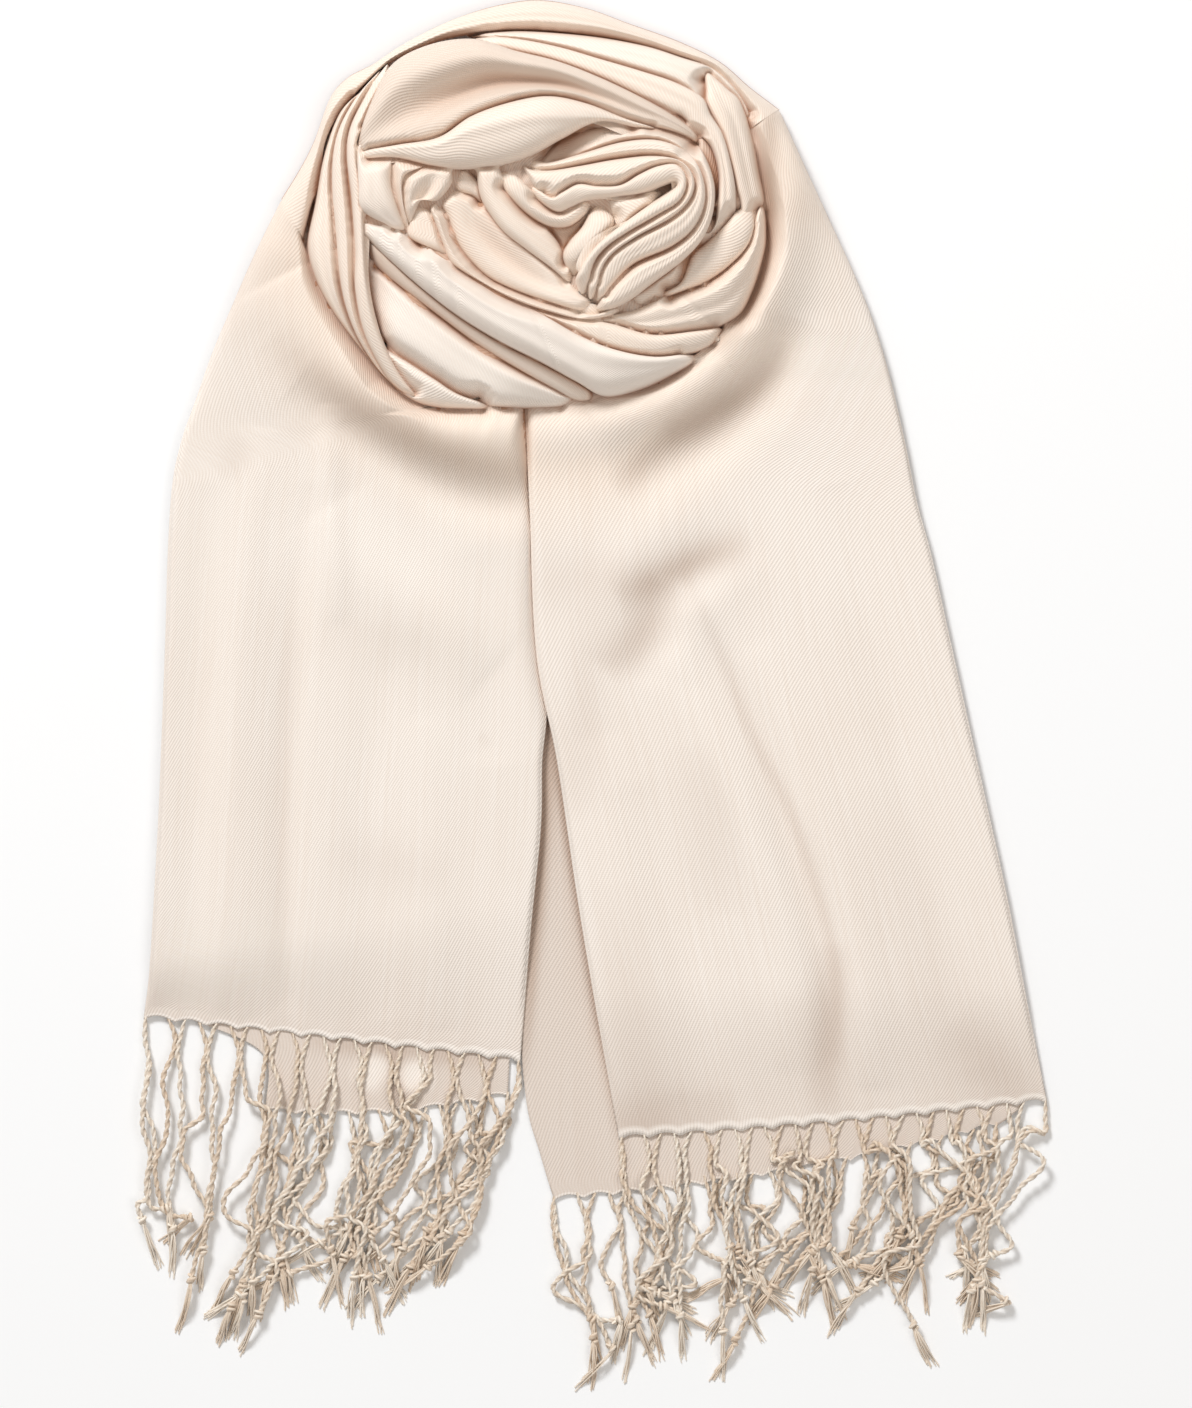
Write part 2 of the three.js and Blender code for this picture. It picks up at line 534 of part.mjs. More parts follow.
// Columns: height of the ridge or trough, its half width, and the line it follows.
const LEFT_CREASES = [
  { height: 9, width: 12, line: [[-96, -52], [-78, -76], [-57, -92], [-30, -100], [-4, -101]] },
  { height: -3.5, width: 9, line: [[-97, -66], [-75, -88], [-50, -104], [-25, -113], [-2, -114]] },
  { height: 2.5, width: 5, line: [[-85, -92], [-86, -112], [-84, -136]] },
  { height: 2.5, width: 14, line: [[-95, -140], [-80, -160], [-62, -170]] },
  { height: -2, width: 6, line: [[-103, -170], [-106, -210], [-112, -252]] },
  { height: 2, width: 6, line: [[-93, -170], [-96, -215], [-99, -255]] },
  { height: 2, width: 7, line: [[-125, -215], [-127, -250], [-126, -285]] },
];
const RIGHT_CREASES = [
  { height: 9, width: 13, line: [[0, -100], [26, -97], [52, -86], [73, -73], [90, -54], [99, -32],
    [105, 0], [105, 32]] },
  { height: -3.5, width: 8, line: [[45, -118], [60, -101], [77, -90], [90, -79], [101, -62],
    [107, -45], [112, -20]] },
  { height: -4, width: 6, line: [[77, -144], [69, -150], [60, -155], [52, -161], [47, -171],
    [43, -183]] },
  { height: 3, width: 6, line: [[84, -160], [65, -165], [52, -178]] },
  { height: -2.5, width: 7, line: [[65, -166], [73, -187], [86, -213], [99, -243], [107, -269],
    [116, -295], [122, -316], [125, -338], [125, -363], [127, -385]] },
  { height: 2.5, width: 9, line: [[55, -190], [72, -220], [86, -250], [98, -285], [108, -320],
    [110, -360]] },
];

// A place on a tail: t from its top to its hem, u from its outer to its inner edge.
function onPanel(rows, t, u) {
  const full = rows.map((row) => [...row, 0, 0].slice(0, 6));
  const [ox, oy, ix, iy, bow, rise] = readRows(full, t);
  return [lerp(ox, ix, u), lerp(oy, iy, u) - bow * 4 * u * (1 - u), Math.hypot(ox - ix, oy - iy),
    Math.max(0, rise) * arch(u)];
}

const EDGE_ACROSS = [0, 0.012, 0.04, 0.13, 0.24, 0.36, 0.5, 0.64, 0.76, 0.87, 0.96, 0.988, 1];

function tailGrid(rows, sections, creases) {
  const upper = [];
  for (let i = 0; i <= sections; i += 1) {
    upper.push(EDGE_ACROSS.map((u) => {
      const [x, y, wide, rise] = onPanel(rows, i / sections, u);
      const inside = clamp((Math.min(u, 1 - u) * wide) / ROUND);
      const rolled = lerp(TAIL_EDGE, TAIL_TOP, Math.sqrt(1 - (1 - inside) ** 2));
      return [x, y, Math.max(TAIL_EDGE, rolled + rise + relief(creases, x, y) * inside)];
    }));
  }
  return upper;
}

// ---------- fringe ----------
// Columns of a row: how far along the hem it leaves, where the strands of that part of
// the hem come to lie, and how high above the floor.
const OVER = 4.4;             // how high a strand lies that crosses those of the back hem
const STAGGER = 26;           // every other strand is this much shorter
const FRINGES = {
  left_back_fringe: { panel: LEFT_BACK, count: 18, hemTop: BACK_WALL, ends: [
    [0, -150, -484, 0], [0.3, -124, -492, 0], [0.6, -98, -486, 0], [1, -52, -470, 0],
  ] },
  left_front_fringe: { panel: LEFT_FRONT, count: 24, hemTop: TAIL_EDGE, ends: [
    [0, -168, -455, 0], [0.11, -158, -460, 0], [0.12, -157, -461, OVER], [0.5, -116, -480, OVER],
    [0.75, -84, -474, OVER], [1, -45, -462, OVER],
  ] },
  right_back_fringe: { panel: RIGHT_BACK, count: 20, hemTop: BACK_WALL, ends: [
    [0, 18, -508, 0], [0.25, 44, -506, 0], [0.5, 84, -498, 0], [0.75, 128, -492, 0],
    [1, 178, -484, 0],
  ] },
  right_front_fringe: { panel: RIGHT_FRONT, count: 24, hemTop: TAIL_EDGE, ends: [
    [0, 26, -490, OVER], [0.3, 58, -486, OVER], [0.6, 108, -478, OVER], [0.85, 160, -486, OVER],
    [1, 196, -470, OVER],
  ] },
};
// Columns: how far down the strand, its radius there.
const STRAND_SHAPE = [[0, 0.6], [0.35, STRAND], [0.71, KNOT], [0.8, STRAND * 1.2], [1, TASSEL]];
const TOP = [0, 0, 1];

// A three-sided rod along a path with a radius at each point.
function rod(path, radii, sides = 3) {
  const rings = path.map((p, i) => {
    const before = path[Math.max(0, i - 1)];
    const after = path[Math.min(path.length - 1, i + 1)];
    const d = new THREE.Vector3().fromArray(after).sub(new THREE.Vector3().fromArray(before));
    const side = d.clone().cross(new THREE.Vector3().fromArray(TOP)).normalize();
    const up = side.clone().cross(d).normalize();
    return Array.from({ length: sides }, (_, k) => {
      const a = (2 * Math.PI * k) / sides + Math.PI / 2;
      return [0, 1, 2].map((c) => p[c] + radii[i]
        * (Math.cos(a) * side.getComponent(c) + Math.sin(a) * up.getComponent(c)));
    });
  });
  const faces = [];
  const at = (i, k) => i * sides + (k % sides);
  for (let i = 0; i + 1 < rings.length; i += 1) {
    for (let k = 0; k < sides; k += 1) {
      faces.push([at(i, k), at(i, k + 1), at(i + 1, k + 1)], [at(i, k), at(i + 1, k + 1), at(i + 1, k)]);
    }
  }
  for (let k = 1; k + 1 < sides; k += 1) {
    const n = rings.length - 1;
    faces.push([at(0, 0), at(0, k + 1), at(0, k)], [at(n, 0), at(n, k), at(n, k + 1)]);
  }
  return solid(rings.flat(), faces);
}

// The strip lies just off the hem; every strand starts inside it.
function fringe({ panel, count, hemTop, ends }) {
  const off = (t, by) => {
    const [x, y] = onPanel(panel, 1, t);
    const [ax, ay] = onPanel(panel, 1, t - 0.01);
    const [bx, by2] = onPanel(panel, 1, t + 0.01);
    const long = Math.hypot(bx - ax, by2 - ay);
    const down = bx > ax ? 1 : -1;
    return [x + (down * (by2 - ay) * by) / long, y - (down * (bx - ax) * by) / long, hemTop];
  };
  const strip = Array.from({ length: HEM_STEPS + 1 }, (_, i) => [
    off(i / HEM_STEPS, GAP + 0.05), off(i / HEM_STEPS, GAP + 0.05 + STRIP)]);
  const parts = [body(strip, lowered(strip, 1.5))];
  const leftToRight = strip[0][0][0] < strip[HEM_STEPS][0][0];
  for (let i = 0; i < count; i += 1) {
    const t = (i + 0.5) / count;
    const [sx, sy] = off(leftToRight ? t : 1 - t, GAP + STRIP * 0.6);
    const [, ex, endY, foot] = readAt(ends, t);
    const ey = endY + (i % 2) * STAGGER;
    const path = STRAND_SHAPE.map(([s, r]) => {
      const rest = foot + r * 0.55 + 0.35;
      const z = s === 0 ? hemTop - 0.75 : lerp(hemTop - 0.4, rest, clamp(s * 3));
      return [lerp(sx, ex, lerp(s, s * s * (3 - 2 * s), 0.6)), lerp(sy, ey, s), z];
    });
    parts.push(rod(path, STRAND_SHAPE.map(([, r]) => r)));
  }
  return Manifold.union(parts);
}

// Straight-line reading of a table whose first column is the place along it.
function readAt(rows, t) {
  const i = clamp(rows.findIndex((r) => r[0] >= t), 1, rows.length - 1);
  const f = clamp((t - rows[i - 1][0]) / (rows[i][0] - rows[i - 1][0]));
  return rows[i].map((_, c) => lerp(rows[i - 1][c], rows[i][c], f));
}

// ---------- the coil's hidden layers ----------
const HEAP_OUTLINE = [
  [-100, 5], [-94, 30], [-84, 47], [-66, 60], [-42, 72], [-14, 80], [14, 80], [42, 71], [66, 62],
  [88, 45], [94, 20], [94, -8], [92, -32], [80, -52], [60, -70], [36, -80], [10, -85], [-18, -86],
  [-46, -84], [-64, -73], [-78, -57], [-92, -34], [-98, -16], [-100, 5],
];

// ---------- building ----------
const SKY = 120;
const pieces = [];            // name, solid, colour
const above = [];             // columns that keep lower pieces clear
const undersides = [];        // points that the coil's filling stays below
const ceilings = [];          // the room over each underside

// Adds a stretch, cut back from every stretch above it.
function settle(name, grid, wall) {
  const whole = body(grid, lowered(grid, wall));
  const shown = above.length ? whole.subtract(Manifold.union(above)) : whole;
  pieces.push([name, largest(shown).simplify(MERGE), CLOTH]);
  above.push(column(plan(outlineOf(grid), GAP), -10, SKY));
  undersides.push(...lowered(grid, wall + GAP).flat());
  ceilings.push(body(atHeight(grid, SKY), lowered(grid, wall + GAP)));
}

// The coil's hidden layers: a rounded heap that stays below every stretch over it.
function filling(outline, rings, spokes) {
  const heap = [];
  for (let i = 0; i <= rings; i += 1) {
    const out = i / rings;
    heap.push(Array.from({ length: spokes + 1 }, (_, j) => {
      const [ox, oy] = readRows(outline, j / spokes);
      const x = lerp(HEAP_MIDDLE[0], ox, Math.max(out, 0.02));
      const y = lerp(HEAP_MIDDLE[1], oy, Math.max(out, 0.02));
      const near = undersides.filter((p) => Math.hypot(p[0] - x, p[1] - y) < HEAP_REACH);
      return [x, y, Math.max(HEAP_LOW, Math.min(HEAP_HIGH, ...near.map((p) => p[2])))];
    }));
  }
  // The first and last spokes meet, so the heap is closed as a fan of two half turns.
  const half = Math.floor(spokes / 2);
  const slice = (from, to) => {
    const part = heap.map((row) => row.slice(from, to + 1));
    return body(part, atHeight(part, 0));
  };
  return largest(Manifold.union([slice(0, half), slice(half, spokes), core(heap[0])])
    .subtract(Manifold.union(ceilings)));
}

// The small plug at the heap's middle.
function core(ring) {
  const top = Math.min(...ring.map((p) => p[2])) - 0.2;
  return column(plan(ring.slice(0, -1).map(([x, y]) => [x, y]), 0.5), 0, top);
}

// Keeps some rows and columns of a grid.
const thinned = (grid, rows, columns) => rows.map((i) => columns.map((j) => grid[i][j]));

// The layers between a tail's two outer folds follow its front, a little way in.
function innerLayers(grid) {
  const rows = grid.map((_, i) => i).filter((i) => i > 0 && i < grid.length - 1 && i % 2 === 1);
  const columns = [3, 5, 7, 9];
  const top = lowered(thinned(grid, rows, columns), TAIL_WALL + GAP + 0.9);
  return body(top, atHeight(top, BACK_WALL + GAP));
}

// A level wall on the floor between two edges.
function backFold(rows, sections) {
  const grid = Array.from({ length: sections + 1 }, (_, i) => {
    return [0, 0.25, 0.5, 0.75, 1].map((u) => [
      ...onPanel(rows, i / sections, u).slice(0, 2), BACK_WALL]);
  });
  return body(grid, atHeight(grid, 0));
}

for (const [name, { rows, sections, slim }] of Object.entries(COIL)) {
  settle(name, stretchGrids(rows, sections, slim ? ACROSS_SLIM : ACROSS), WALL);
}
const heap = filling(HEAP_OUTLINE, 5, 20);
const tailRooms = [];
const coilRoom = Manifold.union(above);
const beside = (made, room) => largest(made.subtract(room ?? coilRoom)).simplify(MERGE);
for (const [side, rows, creases, sections] of [
  ['left', LEFT_FRONT, LEFT_CREASES, 16], ['right', RIGHT_FRONT, RIGHT_CREASES, 17]]) {
  const grid = tailGrid(rows, sections, creases);
  settle(`${side}_tail_front`, grid, TAIL_WALL);
  tailRooms.push(above[above.length - 1]);
  const room = Manifold.union([coilRoom, ceilings[ceilings.length - 1]]);
  pieces.push([`${side}_tail_inner_layers`, beside(innerLayers(grid), room), CLOTH]);
}
pieces.push(['coil_inner_layers', largest(heap.subtract(Manifold.union(tailRooms))), CLOTH]);
pieces.push(['left_tail_back', beside(backFold(LEFT_BACK, 14)), CLOTH]);
pieces.push(['right_tail_back', beside(backFold(RIGHT_BACK, 16)), CLOTH]);
for (const [name, row] of Object.entries(FRINGES)) pieces.push([name, fringe(row), YARN]);

// ---------- scene graph ----------
const group = new THREE.Group();
group.name = 'head_wrap';
const extent = new THREE.Box3();
for (const [name, made, colour] of pieces) {
  const { vertProperties, triVerts, numProp } = made.getMesh();
  const geometry = new THREE.BufferGeometry();
  geometry.setAttribute('position', new THREE.BufferAttribute(vertProperties, numProp));
  geometry.setIndex(new THREE.BufferAttribute(triVerts, 1));
  geometry.computeVertexNormals();
  geometry.computeBoundingBox();
  extent.union(geometry.boundingBox);
  const mesh = new THREE.Mesh(geometry, new THREE.MeshStandardMaterial({
    color: colour, roughness: 0.75, metalness: 0 }));
  mesh.name = name;
  group.add(mesh);
}
const middle = extent.getCenter(new THREE.Vector3());
for (const mesh of group.children) mesh.position.set(-middle.x, -middle.y, 0);

export default group;
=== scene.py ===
# %% [markdown]
# # A fringed shawl laid out as a head wrap
# The real object is one long cut of fine cream twill with scalloped hems and a knotted
# fringe. Its middle is wound into a low coil; its two ends are folded lengthwise and lie
# side by side. The packed model is loaded first, and every piece is made around it.
# Blender's own cube, light and camera go before the size of the packed model is taken.

# %% Load the packed model
import math

import bmesh
import bpy
import numpy as np
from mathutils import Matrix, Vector


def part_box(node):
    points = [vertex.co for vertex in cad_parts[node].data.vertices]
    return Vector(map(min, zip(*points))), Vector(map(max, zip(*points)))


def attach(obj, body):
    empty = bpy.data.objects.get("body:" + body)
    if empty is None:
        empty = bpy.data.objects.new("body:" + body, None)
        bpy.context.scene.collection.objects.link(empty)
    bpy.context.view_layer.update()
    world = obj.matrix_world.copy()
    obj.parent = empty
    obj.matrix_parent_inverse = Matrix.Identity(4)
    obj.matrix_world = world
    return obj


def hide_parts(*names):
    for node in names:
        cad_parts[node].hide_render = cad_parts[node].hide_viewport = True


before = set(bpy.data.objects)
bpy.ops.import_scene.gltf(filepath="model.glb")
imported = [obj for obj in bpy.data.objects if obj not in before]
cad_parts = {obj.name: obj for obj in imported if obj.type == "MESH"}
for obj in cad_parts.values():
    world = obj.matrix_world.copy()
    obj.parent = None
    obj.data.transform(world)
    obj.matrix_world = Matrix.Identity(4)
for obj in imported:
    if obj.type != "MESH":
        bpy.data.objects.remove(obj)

for left_over in ("Cube", "Light", "Camera"):
    if left_over in bpy.data.objects:
        bpy.data.objects.remove(bpy.data.objects[left_over])
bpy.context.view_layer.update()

# %% [markdown]
# All places below are in millimetres from the coil's middle, with +X to the right and +Y
# away from the tails, because that is how a wrap is wound and read. The packed model has
# its origin elsewhere, so the coil's middle is found from one solid: the lower right
# corner of the right tail's hem is 218 mm right of it, and the hem's lowest corner is
# 402 mm below it.

# %% Where the coil's middle is
RIGHT_CORNER_X, LOW_CORNER_Y = 218, -402
tail_low, tail_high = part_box("right_tail_front")
COIL_MIDDLE = np.array([
    tail_high.x * 1000 - RIGHT_CORNER_X, tail_low.y * 1000 - LOW_CORNER_Y, 0])
MM = 0.001
print("coil's middle at", COIL_MIDDLE.round(1), "mm")

# %% [markdown]
# ## Curves and heights
# A stretch of wound cloth is a band between two edges. Its table has one row for each
# section across it, and a smooth curve is drawn through the rows. Across the band the
# cloth rises steeply from each folded edge and is nearly level between them, which is
# what a soft fold looks like: half of a flattened tube.

# %% Smooth curves through the rows of a table
ARCH_POWER = 2.6


def read_rows(rows, t):
    """Values of every column at each t, 0 at the first row and 1 at the last."""
    rows = np.asarray(rows, float)
    t = np.clip(np.atleast_1d(np.asarray(t, float)), 0, 1) * (len(rows) - 1)
    i = np.minimum(t.astype(int), len(rows) - 2)
    f = (t - i)[:, None]
    here, there = rows[i], rows[i + 1]
    first, last = 2 * rows[:1] - rows[1:2], 2 * rows[-1:] - rows[-2:-1]
    padded = np.concatenate([first, rows, last])
    before, beyond = padded[i], padded[i + 3]
    return 0.5 * (2 * here + (there - before) * f
                  + (2 * before - 5 * here + 4 * there - beyond) * f ** 2
                  + (3 * here - before - 3 * there + beyond) * f ** 3)


def columns(rows, count):
    """Rows padded with zeros to the same number of columns."""
    return [list(row) + [0] * (count - len(row)) for row in rows]


def arch(u):
    """Height across a folded band: 0 at both edges, 1 in the middle."""
    return np.sqrt(np.maximum(0, 1 - np.abs(2 * u - 1) ** ARCH_POWER))


def bump(x, middle, width):
    return np.exp(-(((x - middle) / width) ** 2))


print("arch at the edge, a tenth in and the middle:", arch(np.array([0, 0.1, 0.5])).round(2))

# %% [markdown]
# Creases on the tails are soft ridges and troughs along given lines. The height
# falls off smoothly on both sides of the line and fades at its ends.

# %% Ridges and troughs along a line
END_FADE = 0.6


def nearest(line, x, y):
    """Distance to a line of points, and how far along it the nearest place is."""
    best, along = np.full(x.shape, 1e9), np.zeros(x.shape)
    for i, ((ax, ay), (bx, by)) in enumerate(zip(line, line[1:])):
        f = ((x - ax) * (bx - ax) + (y - ay) * (by - ay)) / ((bx - ax) ** 2 + (by - ay) ** 2)
        f = np.clip(f, 0, 1)
        d = np.hypot(x - ax - (bx - ax) * f, y - ay - (by - ay) * f)
        closer = d < best
        best = np.where(closer, d, best)
        along = np.where(closer, (i + f) / (len(line) - 1), along)
    return best, along


def relief(creases, x, y):
    """Sum of all creases at each place: each is a height, a half width and a line."""
    z = np.zeros(x.shape)
    for height, width, line in creases:
        smooth = read_rows(line, np.linspace(0, 1, 4 * len(line)))
        d, along = nearest(smooth.tolist(), x, y)
        z += height * bump(d, 0, width) * np.sin(math.pi * along) ** END_FADE
    return z


print("a crease fades to", round(math.sin(math.pi * 0.1) ** END_FADE, 2), "a tenth from its end")

# %% [markdown]
# ## From a grid of points to a sheet of cloth
# Every sheet is a grid of points: across it, and along it. It becomes a mesh of quads
# with a UV map in millimetres, so that the weave keeps its size everywhere, and two
# attributes of painted shade and light: fold is 1 deep in a crease, where brown shade is
# painted, and 0 on open cloth; the second is above 0 where shade is painted darker and
# below 0 where light is painted paler. Solidify gives the thickness below the surface
# that shows.

# %% Make a sheet
CLOTH_THICK, TAIL_THICK = 1.1, 0.6


def to_metres(points):
    return (np.asarray(points).reshape(-1, 3) + COIL_MIDDLE) * MM


def put_in_scene(name, data):
    obj = bpy.data.objects.new(name, data)
    bpy.context.scene.collection.objects.link(obj)
    return obj


def store(mesh, values_by_name):
    """Keeps one number for each point of the mesh under each name."""
    for name, values in values_by_name.items():
        mesh.attributes.new(name, "FLOAT", "POINT").data.foreach_set(
            "value", np.asarray(values, np.float32).ravel())


def grid_mesh(name, grid, uv, fold, tone):
    nv, nu = grid.shape[:2]
    index = np.arange(nv * nu).reshape(nv, nu)
    quads = np.stack([index[:-1, :-1], index[:-1, 1:], index[1:, 1:], index[1:, :-1]], -1)
    quads = quads.reshape(-1, 4)
    a, b, c = (grid.reshape(-1, 3)[quads[len(quads) // 2, k]] for k in range(3))
    if np.cross(b - a, c - a)[2] < 0:
        quads = quads[:, ::-1]
    mesh = bpy.data.meshes.new(name)
    mesh.from_pydata(to_metres(grid).tolist(), [], quads.tolist())
    layer = mesh.uv_layers.new(name="UVMap")
    layer.data.foreach_set("uv", uv.reshape(-1, 2)[quads.reshape(-1)].astype(np.float32).ravel())
    store(mesh, {"fold": fold, "tone": tone})
    mesh.shade_smooth()
    return put_in_scene(name, mesh)


def thicken(obj, thick):
    wall = obj.modifiers.new("thickness", "SOLIDIFY")
    wall.thickness, wall.offset, wall.use_even_offset = thick * MM, -1, False
    return obj


print("cloth is", CLOTH_THICK, "mm thick in the coil and", TAIL_THICK, "mm in the tails")

# %% [markdown]
# Cloth keeps its lengths when it is folded. So the UV map and the flat size of a sheet
# both come from distances measured on the sheet itself.

# %% Measure a sheet
def lengths_along(line):
    """How far each point of a line is from its first point."""
    return np.concatenate([[0], np.cumsum(np.linalg.norm(np.diff(line, axis=0), axis=1))])


def measure(grid):
    """Millimetres across the sheet from its first column, and along its middle."""
    across = np.linalg.norm(np.diff(grid, axis=1, prepend=grid[:, :1]), axis=2).cumsum(1)
    along = lengths_along(grid[:, grid.shape[1] // 2])
    return across, along[:, None] + 0 * across


def sheet_size(grid):
    """Widest section and length along the middle, in metres, and the area."""
    across, along = measure(grid)
    e1, e2 = grid[1:, :-1] - grid[:-1, :-1], grid[:-1, 1:] - grid[:-1, :-1]
    area = np.linalg.norm(np.cross(e1, e2), axis=2).sum()
    return across.max() * MM, along.max() * MM, area * MM * MM


flat_square = np.stack(np.meshgrid([0.0, 10], [0.0, 10], [0.0]), -1)[:, :, 0]
print("a square of 10 mm measures", np.round(sheet_size(flat_square), 6))

# %% [markdown]
# ## The wound middle
# Each row of these tables is one section across a stretch of cloth: its outer edge x and y,
# its inner edge x and y, the height of both edges, how much higher the middle rises, and
# how deep a trough runs along it. The tables are in the order of the heap, from its top
# down, so that every stretch can be tucked under those before it.

